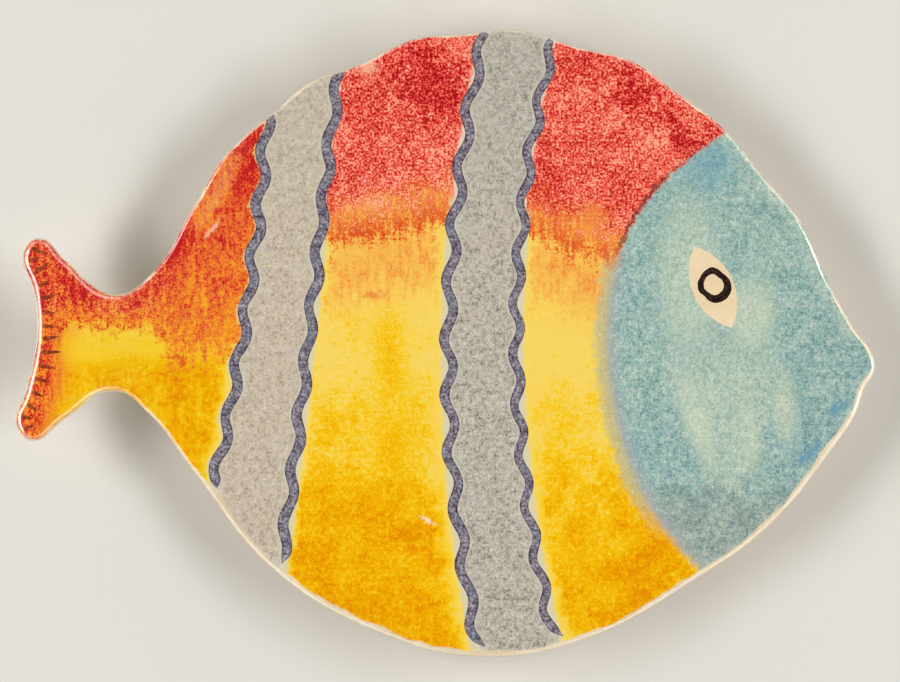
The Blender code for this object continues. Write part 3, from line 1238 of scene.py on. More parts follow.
@dataclass(frozen=True)
class Finish:
    """A fired surface.

    Attributes:
        title: The material's name.
        peel: Height of its fine unevenness, in millimetres.
        peel_size: From one swell of that to the next.
        dabs: Patches laid over the rest.
    """

    title: str
    roughness: float = 0.14
    peel: float = 0.004
    peel_size: float = 2.4
    dabs: Tuple[Dab, ...] = ()

    def base(self, place: Place) -> Wire:
        """The colour at a place, before the dabs."""
        raise NotImplementedError

    def colour(self, place: Place) -> Wire:
        """Colour a place.

        Args:
            place: Where on the plate.

        Returns:
            The colour, with the dabs over it.
        """
        bench = place.x.bench
        colour = self.base(place)
        if self.dabs:
            ragged = place.grain(0.8, 74, 1.0) * 0.2 + place.grain(2.2, 75, 1.0) * 0.2
        for dab in self.dabs:
            colour = bench.mix(colour, paint(dab.colour), dab.share(place, ragged))
        return colour

    def height(self, place: Place) -> Wire:
        """Relief that is too fine to model, in millimetres."""
        return place.grain(self.peel_size, 71, 2.0) * self.peel

    def material(self) -> Material:
        """Make a material of the finish, on Object coordinates.

        Returns:
            The material.
        """
        material = bpy.data.materials.new(self.title)
        material.use_nodes = True
        shader = material.node_tree.nodes["Principled BSDF"]
        bench = Bench(material.node_tree)
        x, y, _ = bench.parts(bench.add("ShaderNodeTexCoord").outputs["Object"])
        lip = bench.wire(bench.add("ShaderNodeAttribute", attribute_name="lip").outputs["Fac"])
        place = Place(x / MM, y / MM, lip / MM)
        bench.feed(shader.inputs["Base Color"], self.colour(place))
        bench.feed(shader.inputs["Roughness"], place.grain(7.0, 72, 1.0) * 0.02 + self.roughness)
        feeds = {"Height": self.height(place) * MM, "Distance": 1.0, "Strength": 1.0}
        bench.feed(shader.inputs["Normal"], bench.add("ShaderNodeBump", feeds).outputs[0])
        return material


@dataclass(frozen=True)
class Biscuit(Finish):
    """Bare fired clay, with grog in it and rings from the turning tool, in millimetres."""

    tones: Rgbs = ((214, 181, 145), (181, 142, 105))
    grog: Rgb = (150, 112, 80)
    foot_at: float = 15.75
    ring_pitch: float = 0.9
    ring_depth: float = 0.012

    def base(self, place: Place) -> Wire:
        """Warm clay with darker grains.

        Args:
            place: Where on the plate.

        Returns:
            The colour.
        """
        bench = place.x.bench
        body = bench.tones(place.grain(6.0, 1, 3.0), -2.0, 2.0, self.tones)
        grog = bench.ramp(place.grain(0.8, 2, 1.0), 1.1, 2.0)
        return bench.mix(body, paint(self.grog), grog * 0.6)

    def height(self, place: Place) -> Wire:
        """Turning rings about the foot's middle, and the grain of the clay.

        Args:
            place: Where on the plate.

        Returns:
            The relief in millimetres.
        """
        bench = place.x.bench
        out = place.x - self.foot_at
        radius = bench.math("SQRT", out * out + place.y * place.y)
        rings = bench.math("SINE", radius * (2 * math.pi / self.ring_pitch)) * self.ring_depth
        return rings + place.grain(0.7, 3, 2.0) * 0.01


@dataclass(frozen=True)
class CreamGlaze(Finish):
    """Cream glaze that shows the clay a little, with a few iron specks."""

    tones: Rgbs = ((238, 224, 196), (229, 211, 178), (216, 196, 160))
    iron: Rgb = (150, 116, 82)
    specks: float = 0.6

    def base(self, place: Place) -> Wire:
        """Cream with soft clouds and specks.

        Args:
            place: Where on the plate.

        Returns:
            The colour.
        """
        bench = place.x.bench
        cloud = place.grain(14.0, 11, 2.0) + place.grain(1.6, 12, 1.0) * 0.5
        body = bench.tones(cloud, -2.4, 2.4, self.tones)
        speck = bench.ramp(place.grain(1.1, 13, 0.0), 2.0, 2.4)
        return bench.mix(body, paint(self.iron), speck * self.specks)


@dataclass(frozen=True)
class SunPaint(Finish):
    """Red, orange, yellow and amber, sponged one under the other from back to belly.

    Attributes:
        left: The line on the tail's side. The paint stops at a plain edge beside its waves.
        overlap: How far from the sweep of a line the yellow stops, in millimetres.
        red_left: How far from the sweep of the left line the red stops.
        middle: Where a denser column of amber runs down.
        column: How much denser it is.
        red_edge: Height at which the red stops, at the column.
        red_slope: How much higher that is for each millimetre towards the mouth.
        orange_low: Height at which the thin wash of orange has faded to yellow.
        orange_high: 8 millimetres above the height from which the orange is dense.
        amber_high: Height at which the amber starts.
        left_margin: How far a paler margin reaches beside the left line.
        low_reds: The red at its lower edge, where it mixed with the orange.
        gap: What shows between the yellow and a line's waves.
        bare: What shows between the red and a line.
        denser: Patches where more paint was dabbed on, or less where their strength is negative.
    """

    left: Optional[BrushLine] = None
    right: Optional[BrushLine] = None
    overlap: float = 2.5
    red_left: float = 0.75
    red_right: float = 1.7
    middle: float = 0.0
    column: float = 0.0
    red_edge: float = 41.0
    red_slope: float = 0.3
    orange_low: float = 12.0
    orange_high: float = 42.0
    amber_high: float = 5.0
    amber_low: float = -85.0
    left_margin: float = 2.0
    right_margin: float = 5.0
    reds: Rgbs = ((168, 16, 24), (220, 58, 52), (250, 112, 90), (255, 176, 146))
    low_reds: Rgbs = ((184, 38, 24), (228, 82, 48), (247, 132, 80), (254, 180, 128))
    oranges: Rgbs = ((252, 210, 90), (249, 184, 82), (242, 134, 58), (222, 82, 34))
    ambers: Rgbs = ((250, 216, 100), (251, 208, 48), (248, 192, 8), (243, 174, 0), (233, 143, 0))
    gap: Rgb = (220, 212, 174)
    bare: Rgb = (230, 206, 184)
    denser: Tuple[Smudge, ...] = ()
    seed: int = 20

    def load(self, place: Place, ragged: Wire) -> Number:
        """How much more paint than usual lies at a place."""
        return sum((smudge.share(place, ragged) for smudge in self.denser), 0.0)

    def rooms(self, place: Place) -> Tuple[Number, Number]:
        """How far a place is from the sweeps of both lines, or far off where there is none."""
        left = self.left.room(place, False) if self.left else FAR
        return left, self.right.room(place, False) * -1.0 if self.right else FAR

    def base(self, place: Place) -> Wire:
        """The four colours with their ragged edges and pale margins.

        Args:
            place: Where on the plate.

        Returns:
            The colour.
        """
        bench = place.x.bench
        speck, blot, cloud, drift = place.sponge(self.seed)
        streak = place.grain(1.5, self.seed + 4, 1.0, 5.0)
        pores = bench.ramp(place.grain(1.4, self.seed + 5), 0.8, 1.8)
        left, right = self.rooms(place)
        near = bench.least(left - self.red_left, right - self.red_right)
        stray = blot * 0.35 + cloud * 0.5 - self.overlap
        dense = bench.ramp(stray + left, -0.5, self.left_margin)
        dense = dense * bench.ramp(stray + right, -0.5, self.right_margin)
        fall = bench.ramp(place.y, self.amber_high + 8, self.amber_low)
        column = bench.ramp(abs(place.x - self.middle) + cloud * 2.0 + blot * 1.5, 9.0, 0.0) * self.column
        column = column * bench.ramp(place.y, self.amber_high + 14, self.amber_high - 4)
        load = self.load(place, cloud * 0.15 + blot * 0.12)
        thick = fall * 0.72 + column * bench.ramp(place.y, -62.0, -34.0) + load * 0.3 - pores * 0.22
        thick = thick + speck * 0.09 + blot * 0.11 + cloud * 0.11 + drift * 0.10
        colour = bench.tones(thick * dense + speck * 0.03, 0.0, 1.0, self.ambers)
        edge = bench.least(left, right) - self.overlap + speck * 0.12 + blot * 0.16
        colour = bench.mix(paint(self.gap), colour, bench.ramp(edge, -0.5, 0.3))
        height = place.y - (place.x - self.middle) * self.red_slope
        grit = streak * 0.15 + speck * 0.17 + blot * 0.11 + cloud * 0.10
        deep = bench.ramp(height + grit * 8.0, self.orange_high - 14.0, self.orange_high - 8.0)
        warm = bench.ramp(height, self.orange_low, self.orange_low + 16.0) * 0.33 + deep * 0.38
        orange = bench.tones(warm + grit * (deep * 0.4 + 0.55), 0.0, 0.95, self.oranges)
        reach = bench.ramp(height + blot * 2.0, self.orange_low - 4.0, self.orange_low + 10.0)
        reach = reach * bench.ramp(edge + stray + deep * 2.5, -2.0, 1.2)
        colour = bench.mix(colour, orange, reach)
        tone = speck * 0.95 + blot * 0.45 + cloud * 0.28 + drift * 0.28 - load * 1.2 + 0.12
        red = bench.tones(tone, -1.5, 1.5, self.reds)
        low = bench.ramp(height - self.red_edge + cloud * 2.5 + blot, 12.0, 1.0)
        red = bench.mix(red, bench.tones(tone, -1.5, 1.5, self.low_reds), low)
        over = height - self.red_edge + speck * 2.0 + blot * 1.6 + cloud * 1.8 + streak * 1.2
        over = bench.ramp(over, -1.6, 1.6)
        wet = bench.ramp(near + speck * 0.22 + blot * 0.3 + cloud * 0.45, -0.3, 0.3)
        colour = bench.mix(colour, paint(self.bare), over * (1.0 - wet))
        return bench.mix(colour, red, over * wet)


@dataclass(frozen=True)
class TailPaint(SunPaint):
    """Hot sponge on the tail's lobes and the top of the neck, which leaves a wedge of yellow between them.

    Attributes:
        hollow: Where the end of the tail lies at its middle, in millimetres.
        lobes: How much farther out the lobes end.
        lobe_rise: How far from the middle they end.
        lift: Height of the tail's middle.
        line_gap: How far from the waved edge of the right line the paint stops.
        hots: The hot sponge, from thin orange to crimson.
        pinks: The same near the upper edge, where it is cooler.
    """

    hollow: float = -131.4
    lobes: float = 6.6
    lobe_rise: float = 32.0
    lift: float = 1.1
    line_gap: float = 0.35
    hots: Rgbs = ((250, 176, 40), (245, 148, 38), (239, 121, 50), (226, 76, 44), (196, 28, 32))
    pinks: Rgbs = ((255, 178, 140), (250, 138, 106), (238, 102, 80), (220, 64, 60), (190, 24, 36))

    def base(self, place: Place) -> Wire:
        """Amber below, orange and red above and along the end of the tail.

        Args:
            place: Where on the plate.

        Returns:
            The colour.
        """
        bench = place.x.bench
        speck, blot, cloud, drift = place.sponge(self.seed)
        streak = place.grain(1.5, self.seed + 4, 1.0, 5.0)
        right = self.rooms(place)[1] - self.red_right
        shore = self.right.room(place) * -1.0 - (self.right.width / 2 + self.line_gap)
        body = bench.ramp(place.x, -97.0, -86.0)
        load = self.load(place, cloud * 0.15 + blot * 0.12)
        amber = bench.ramp(place.y + cloud * 1.2 + blot * 0.9 - load * 3.0, -3.5, -8.5)
        thick = amber * 0.32 + body * 0.14 + 0.25
        thick = thick + (speck * 0.10 + blot * 0.13 + cloud * 0.12 + drift * 0.05) * (amber * 0.75 + 0.25)
        dense = bench.ramp(right + blot * 0.3 + cloud * 0.5, -0.2, 4.6)
        colour = bench.tones(thick * dense, 0.0, 1.0, self.ambers)
        stray = streak * 0.8 + cloud * 0.6 + blot * 0.9 + speck * 0.8
        rise = place.y + body * 9.0 - 4.7 + stray * (body * 0.9 + 1.0)
        soft = body * 4.0 + 2.8
        above = bench.ramp(rise / soft, -1.0, 1.0)
        up = (place.y - self.lift) / self.lobe_rise
        end = place.x - self.hollow + up * up * self.lobes
        band = bench.ramp(end + cloud * 1.2 + blot * 1.1 + speck * 0.8, 16.0, 5.0)
        crimson = bench.ramp(place.lip + cloud * 1.5, 12.0 - body * 4.0, 2.0)
        crimson = crimson * bench.ramp(place.y, 6.0, 12.0)
        upper = bench.ramp(place.y + cloud * 2.0, 54.0, 64.0)
        crimson = crimson * bench.most(bench.ramp(place.x + blot + cloud * 2.0, -74.0, -88.0), upper)
        beside = bench.ramp(right, 10.0, 0.5) * bench.ramp(place.y, 52.0, 40.0) * 0.14
        lobe = bench.ramp(place.x, -108.0, -119.0)
        climb = (place.y + body * 4.7 - 4.7) * (lobe * 0.018 + 0.012)
        heat = bench.least(climb, 0.34 - body * 0.01 - lobe * 0.06) + 0.35 - beside
        heat = bench.most(heat, band * 0.62) + crimson * 0.1 + load * 0.3
        grain = streak * 0.11 + speck * 0.18 + blot * 0.12 + cloud * 0.05
        heat = heat + grain * (1.5 - body * 0.5)
        hot = bench.tones(heat, 0.0, 1.0, self.hots)
        hot = bench.mix(hot, bench.tones(heat, 0.0, 1.0, self.pinks), crimson * 0.3)
        colour = bench.mix(colour, hot, bench.most(above, band))
        edge = shore + speck * 0.18 + blot * 0.2 + cloud * 0.2
        gap = bench.mix(paint(self.gap), paint(self.bare), above)
        return bench.mix(gap, colour, bench.ramp(edge, -0.3, 0.3))


@dataclass(frozen=True)
class StripePaint(Finish):
    """Grey sponge between two wavy lines, where it thins to a pale edge."""

    left: BrushLine = BrushLine(0, 0, 0)
    right: BrushLine = BrushLine(0, 0, 0)
    greys: Rgbs = ((138, 132, 120), (178, 170, 155), (196, 188, 171), (214, 206, 189))
    warm: Rgb = (205, 188, 168)
    cool: Rgb = (172, 176, 164)
    lilac: Rgb = (184, 174, 174)
    pale: Rgb = (214, 208, 190)
    seed: int = 40

    def base(self, place: Place) -> Wire:
        """Fine grey speckle, paler beside the lines.

        Args:
            place: Where on the plate.

        Returns:
            The colour.
        """
        bench = place.x.bench
        left = self.left.room(place) - self.left.width / 2
        right = self.right.room(place) * -1.0 - self.right.width / 2
        speck, blot, cloud, drift = place.sponge(self.seed)
        tone = speck * 0.65 + blot * 0.55 + cloud * 0.22
        body = bench.tones(tone, -1.5, 1.5, self.greys)
        dots = bench.ramp(place.grain(2.2, self.seed + 5, 1.0), 0.3, 2.0)
        body = bench.mix(body, paint(self.lilac), dots * 0.45)
        body = bench.mix(body, paint(self.warm), bench.ramp(drift + blot * 0.4, 0.2, 2.4) * 0.4)
        top = bench.ramp(place.y, 20.0, 80.0) * 0.2
        body = bench.mix(body, paint(self.cool), bench.ramp(cloud + blot * 0.3, 0.4, 2.2) * 0.3 + top)
        room = bench.least(left, right) + speck * 0.25
        return bench.mix(body, paint(self.pale), bench.ramp(room, 0.8, 0.0) * 0.6)


@dataclass(frozen=True)
class HeadPaint(Finish):
    """Turquoise sponge, paler round the eye and on the cheek, and bluer on jaw, brow and snout.

    Attributes:
        cheek_at: Middle of the cheek along the plate, in millimetres.
        cheek_low: The pointed end of the cheek.
        cheek_high: Its top, below the eye.
        cheek_half: Half of its width at the top.
        thin: More places where the turquoise is thin, round the eye and down the cheek.
    """

    teals: Rgbs = ((108, 150, 150), (146, 179, 169), (170, 195, 181), (198, 215, 199))
    blues: Rgbs = ((92, 136, 156), (132, 168, 176), (168, 193, 192))
    greens: Rgbs = ((120, 160, 146), (158, 188, 168), (192, 211, 188))
    pales: Rgbs = ((168, 191, 172), (195, 209, 185), (215, 223, 197))
    lilac: Rgb = (181, 174, 180)
    fringe: Rgb = (174, 174, 177)
    dusks: Rgbs = ((132, 132, 120), (157, 155, 140), (182, 178, 160))
    cheek_at: float = 91.5
    cheek_low: float = -50.0
    cheek_high: float = -4.0
    cheek_half: float = 18.5
    thin: Tuple[Smudge, ...] = (
        Smudge(79.0, 20.0, 12.0, 31.0, 0.72), Smudge(98.5, 9.0, 9.0, 14.0, 0.95),
        Smudge(81.5, -25.0, 22.0, 5.5, 1.0, -72.0), Smudge(97.5, -29.0, 15.0, 4.5, 0.95, -84.0),
        Smudge(109.0, -21.5, 15.0, 5.0, 0.75, -84.0))
    seed: int = 50

    def base(self, place: Place) -> Wire:
        """Sponged turquoise with the cheek and the eye's surround left pale.

        Args:
            place: Where on the plate.

        Returns:
            The colour.
        """
        bench = place.x.bench
        speck, blot, cloud, drift = place.sponge(self.seed)
        tone = speck * 0.72 + blot * 0.58 + cloud * 0.35
        body = bench.tones(tone, -1.5, 1.5, self.teals)
        hue = place.grain(1.3, self.seed + 6, 1.0)
        jaw = bench.ramp(place.y, -8.0, -55.0) * 0.25 + bench.ramp(place.x, 70.0, 54.0) * 0.12
        brow = bench.ramp(place.y, 34.0, 58.0) * 0.2 + bench.ramp(place.x, 104.0, 122.0) * 0.2
        blue = bench.ramp(drift * 0.8 + cloud * 0.6 + hue * 0.9, 0.0, 2.6) * 0.7 + jaw + brow
        body = bench.mix(body, bench.tones(tone, -1.5, 1.5, self.blues), blue)
        leaf = bench.ramp(place.grain(1.8, self.seed + 8, 1.0) + cloud * 0.4, 0.2, 1.9)
        body = bench.mix(body, bench.tones(tone, -1.5, 1.5, self.greens), leaf * 0.55)
        dots = bench.ramp(place.grain(1.5, self.seed + 5, 1.0), 0.6, 1.9)
        body = bench.mix(body, paint(self.lilac), dots * 0.5)
        ragged = cloud * 0.10 + blot * 0.09 + speck * 0.05
        up = (place.y - self.cheek_low) / (self.cheek_high - self.cheek_low)
        half = bench.math("SQRT", bench.most(up, 0.0)) * self.cheek_half
        inside = half - abs(place.x - self.cheek_at) + cloud * 1.8 + blot * 1.2 + speck * 0.6
        cheek = bench.ramp(inside, -3.0, 5.0) * 0.55
        cheek = cheek * bench.ramp(up + cloud * 0.08 + blot * 0.05, 1.35, 0.75)
        upper = bench.ramp(place.lip + blot * 0.5, 6.5, 1.5) * bench.ramp(place.y, -6.0, 6.0) * 0.4
        pale = bench.most(cheek, upper)
        for smudge in self.thin:
            pale = bench.most(pale, smudge.share(place, ragged))
        body = bench.mix(body, bench.tones(tone, -1.5, 1.5, self.pales), pale)
        dusk = bench.ramp(place.y + cloud * 2.0, -40.0, -58.0) * 0.42
        body = bench.mix(body, bench.tones(tone, -1.5, 1.5, self.dusks), dusk)
        room = HEAD_LINE.room(place)
        fringe = bench.ramp(room + blot * 0.8 + speck * 0.7, 4.0, 0.6) * bench.ramp(place.y, 34.0, 20.0)
        return bench.mix(body, paint(self.fringe), fringe * 0.6)


@dataclass(frozen=True)
class FrontPaint(Finish):
    """The shoulder's and the head's sponges, which run into each other along the head line."""

    shoulder: SunPaint = SunPaint("shoulder")
    head: HeadPaint = HeadPaint("head")
    olives: Rgbs = ((164, 160, 118), (196, 188, 140), (222, 212, 158))
    shade: Rgb = (98, 44, 48)
    seed: int = 60

    def base(self, place: Place) -> Wire:
        """Shoulder paint up to the line, head paint past it and an olive blend between them.

        Args:
            place: Where on the plate.

        Returns:
            The colour.
        """
        bench = place.x.bench
        room = HEAD_LINE.room(place)
        speck, blot, cloud, _ = place.sponge(self.seed)
        ragged = room + speck * 0.3 + blot * 0.3
        shoulder = self.shoulder.colour(place)
        middle = bench.ramp(place.y, 32.0, 20.0) * bench.ramp(place.y, -66.0, -46.0)
        soft = bench.ramp(room + blot * 0.7 + cloud * 0.4 + speck * 0.4, -5.6, -2.2) * middle
        olive = bench.tones(speck * 0.7 + blot * 0.5, -2.0, 2.0, self.olives)
        shoulder = bench.mix(shoulder, olive, soft * 0.9)
        dark = bench.ramp(abs(ragged + 0.9), 1.3, 0.1) * bench.ramp(place.y, 26.0, 34.0)
        dark = dark * (bench.ramp(place.y, 62.0, 50.0) * 0.6 + 0.15)
        shoulder = bench.mix(shoulder, paint(self.shade), dark)
        softness = bench.ramp(place.y, 34.0, 22.0) * 1.1 + 0.6
        return bench.mix(shoulder, self.head.colour(place), bench.ramp(ragged / softness, -1.0, 1.0))


@dataclass(frozen=True)
class RimPaint(Finish):
    """The face's paint where it runs out over the lip, and cream beyond it.

    Attributes:
        coats: The finishes of the face from the tail to the head.
        edges: The lines that part them.
    """

    coats: Tuple[Finish, ...] = ()
    edges: Tuple[BrushLine, ...] = ()
    cream: CreamGlaze = CreamGlaze("cream", specks=0.1)

    def base(self, place: Place) -> Wire:
        """Each coat's colour in its own stretch, down to an uneven cream margin.

        Args:
            place: Where on the plate.

        Returns:
            The colour.
        """
        bench = place.x.bench
        colour = self.coats[0].colour(place)
        for coat, edge in zip(self.coats[1:], self.edges):
            past = bench.ramp(edge.room(place), -0.1, 0.1)
            colour = bench.mix(colour, coat.colour(place), past)
        low = bench.ramp(place.y, 15.0, -60.0) * bench.ramp(place.x, -100.0, -70.0) * 1.4
        mouth = bench.ramp(place.x, 100.0, 128.0) * bench.ramp(place.y, 20.0, -10.0) * 0.8
        margin = low + mouth + place.grain(9.0, 80, 1.0) * 0.3 + place.grain(1.2, 81, 1.0) * 0.05 + 0.4
        bare = bench.ramp(place.lip - margin, 0.4, -0.25)
        return bench.mix(colour, self.cream.colour(place), bare)


@dataclass(frozen=True)
class BrushPaint(Finish):
    """Thick paint from a brush, mottled where the hairs ran dry and darker where it gathered at the sides.

    Attributes:
        tint: A second colour that it drifts towards.
        gather: How much darker its sides are.
    """

    tones: Rgbs = ((50, 44, 58), (96, 88, 102), (136, 128, 138), (176, 170, 174))
    tint: Rgb = (106, 118, 138)
    gather: float = 1.1
    seed: int = 90

    def base(self, place: Place) -> Wire:
        """Mottled, with darker sides and a cooler tint here and there.

        Args:
            place: Where on the plate.

        Returns:
            The colour.
        """
        bench = place.x.bench
        side = bench.wire(bench.add("ShaderNodeAttribute", attribute_name="across").outputs["Fac"])
        tone = place.grain(0.8, self.seed, 1.0) * 0.85 + place.grain(2.4, self.seed + 1, 1.0) * 0.55
        tone = tone - bench.ramp(abs(side * 2.0 - 1.0), 0.5, 0.92) * self.gather + 0.34
        body = bench.tones(tone, -1.8, 1.8, self.tones)
        drift = bench.ramp(place.grain(9.0, self.seed + 2, 1.0), 0.3, 2.4)
        return bench.mix(body, paint(self.tint), drift * 0.45)


# Sub-assemblies of the plate


@dataclass
class Blank:
    """The plate's outline and section, as every sub-assembly needs them.

    Attributes:
        spacing: From point to point on the face.
        back_coarse: How many times farther apart they are on the back's coats.
        clay_coarse: The same on the clay, which the coats hide.
    """

    outline: FishOutline
    section: Section
    foot: FootRing
    dish: Dish
    spacing: float = 0.0016
    back_coarse: float = 1.5
    clay_coarse: float = 2.0
    edge: List[Vector] = field(default_factory=list)

    def __post_init__(self) -> None:
        """Draw the outline and keep its inward directions for measuring."""
        self.edge = self.outline.loop()
        self.inward = [moved - point for moved, point in zip(inset(self.edge, 1.0), self.edge)]
        self.finder = kdtree.KDTree(len(self.edge))
        for number, point in enumerate(self.edge):
            self.finder.insert((*point, 0), number)
        self.finder.balance()

    def lip(self, place: Vector) -> float:
        """How far a place lies in from the outline, negative outside."""
        _, number, _ = self.finder.find((place.x, place.y, 0))
        return (place.xy - self.edge[number]).dot(self.inward[number])

    def ring(self, distance: float, height: float) -> List[Vector]:
        """The outline moved inwards, at a height over the glazed face."""
        return [Vector((*point, height)) for point in inset(self.edge, distance)]

    def lip_rings(self, radius: float) -> Tuple[List[List[Vector]], List[float]]:
        """Rings round the lip, from the face to the back, and how far in each one lies.

        Args:
            radius: Radius of the rounding, the edge's own or less for what lies under the glaze.

        Returns:
            The rings, and their distances from the outline.
        """
        steps = self.section.turn_steps
        turns = [math.pi / 2 * step / steps for step in range(steps + 1)]
        bulge = self.section.edge_radius
        spread = self.section.edge_spread
        wide = spread - bulge + radius
        rings = []
        lips = []
        for turn in reversed(turns):
            distance = spread - wide * math.cos(turn)
            rings.append(self.ring(distance, radius * math.sin(turn) - bulge))
            lips.append(distance)
        for turn in turns:
            distance = spread - wide * math.cos(turn)
            rings.append(self.ring(distance, bulge - radius * math.sin(turn) - self.section.thickness))
            lips.append(-self.section.thickness - distance)
        return rings, lips

    def foot_middle(self) -> Vector:
        """The middle of the foot ring."""
        return Vector((self.outline.middle, 0.0))

    def underside(self, place: Vector) -> float:
        """Find the clay's back, with its foot ring.

        Args:
            place: Where on the plate, in metres.

        Returns:
            The height over the glazed face.
        """
        face = self.dish.height(place.x, place.y)
        back = face - self.section.thickness + self.section.glaze
        return self.foot.drop((place.xy - self.foot_middle()).length, back) - face


@dataclass
class ClayBody:
    """The slab of biscuit clay with its turned foot ring."""

    blank: Blank
    finish: Finish = Biscuit("bare_clay", 0.85)

    def build(self) -> Sheet:
        """Build the whole body.

        Returns:
            One closed flat sheet.
        """
        blank = self.blank
        edge = blank.section.edge_radius
        rings, lips = blank.lip_rings(edge - blank.section.glaze)
        border = {"slab": inset(blank.edge, blank.section.edge_spread)}
        upper = Patchwork(border, blank.spacing * blank.clay_coarse)
        body = upper.sheet(["slab"], [], lambda place: -blank.section.glaze, blank.lip)
        body.extend(band(rings, lips, False))
        for radius in blank.foot.radii():
            border[f"turned_{radius:.5f}"] = circle(blank.foot_middle(), radius, blank.foot.steps)
        lower = Patchwork(border, blank.spacing * blank.clay_coarse)
        return body.extend(lower.sheet(["slab"], [], blank.underside, blank.lip).turned())

    def dress(self, potter: Potter) -> None:
        """Lay the body on the dish and finish it.

        Args:
            potter: Who shapes the pieces.
        """
        item = self.build().object("turned_clay_body")
        potter.shape(item, potter.trees.solid, {"Finish": self.finish.material()})
        potter.hand_over(item, Slot.BISCUIT, "clay_body")


@dataclass
class CreamCoats:
    """The rim's coat and the two coats of the back."""

    blank: Blank
    rim_finish: RimPaint
    back_finish: CreamGlaze

    def build_rim(self) -> Sheet:
        """Wrap a coat round the lip, with a flat band on the face and on the back.

        Returns:
            The coat, still flat.
        """
        blank = self.blank
        section = blank.section
        outer, lips = blank.lip_rings(section.edge_radius)
        inner, _ = blank.lip_rings(section.edge_radius - section.glaze)
        reach = section.rim_band
        under = section.glaze - section.thickness
        outer = [blank.ring(reach, 0.0), *outer, blank.ring(reach, -section.thickness)]
        inner = [blank.ring(reach, -section.glaze), *inner, blank.ring(reach, under)]
        lips = [reach, *lips, -section.thickness - reach]
        return band(outer + inner[::-1], lips + lips[::-1], True)

    def build_back(self, inside: List[str], outside: List[str]) -> Sheet:
        """Cut one coat of the back.

        Args:
            inside: Names of the areas that it lies in.
            outside: Names of the areas that are left out.

        Returns:
            The coat on the clay, facing down.
        """
        blank = self.blank
        middle = blank.foot_middle()
        loops = {"back": inset(blank.edge, blank.section.rim_band)}
        for title, side in (("outer_line", 1), ("inner_line", -1)):
            loops[title] = circle(middle, blank.foot.glaze_line(side), blank.foot.steps)
        for radius in blank.foot.radii():
            loops[f"turned_{radius:.5f}"] = circle(middle, radius, blank.foot.steps)
        patches = Patchwork(loops, blank.spacing * blank.back_coarse)
        return patches.sheet(inside, outside, blank.underside, lambda place: -1.0).turned()

    def dress(self, potter: Potter) -> Object:
        """Fire the three coats.

        Args:
            potter: Who shapes the pieces.

        Returns:
            The rim's coat.
        """
        rim = self.build_rim().object("glazed_rim")
        potter.shape(rim, potter.trees.solid, {"Finish": self.rim_finish.material()})
        potter.hand_over(rim, Slot.CREAM, "rim_glaze")
        cream = self.back_finish.material()
        coats = (("back_glaze", ["back"], ["outer_line"]), ("foot_recess_glaze", ["inner_line"], []))
        for node, inside, outside in coats:
            item = self.build_back(inside, outside).object(f"fired_{node}")
            potter.shape(item, potter.trees.coat, {"Finish": cream})
            potter.hand_over(item, Slot.CREAM, node)
        return rim


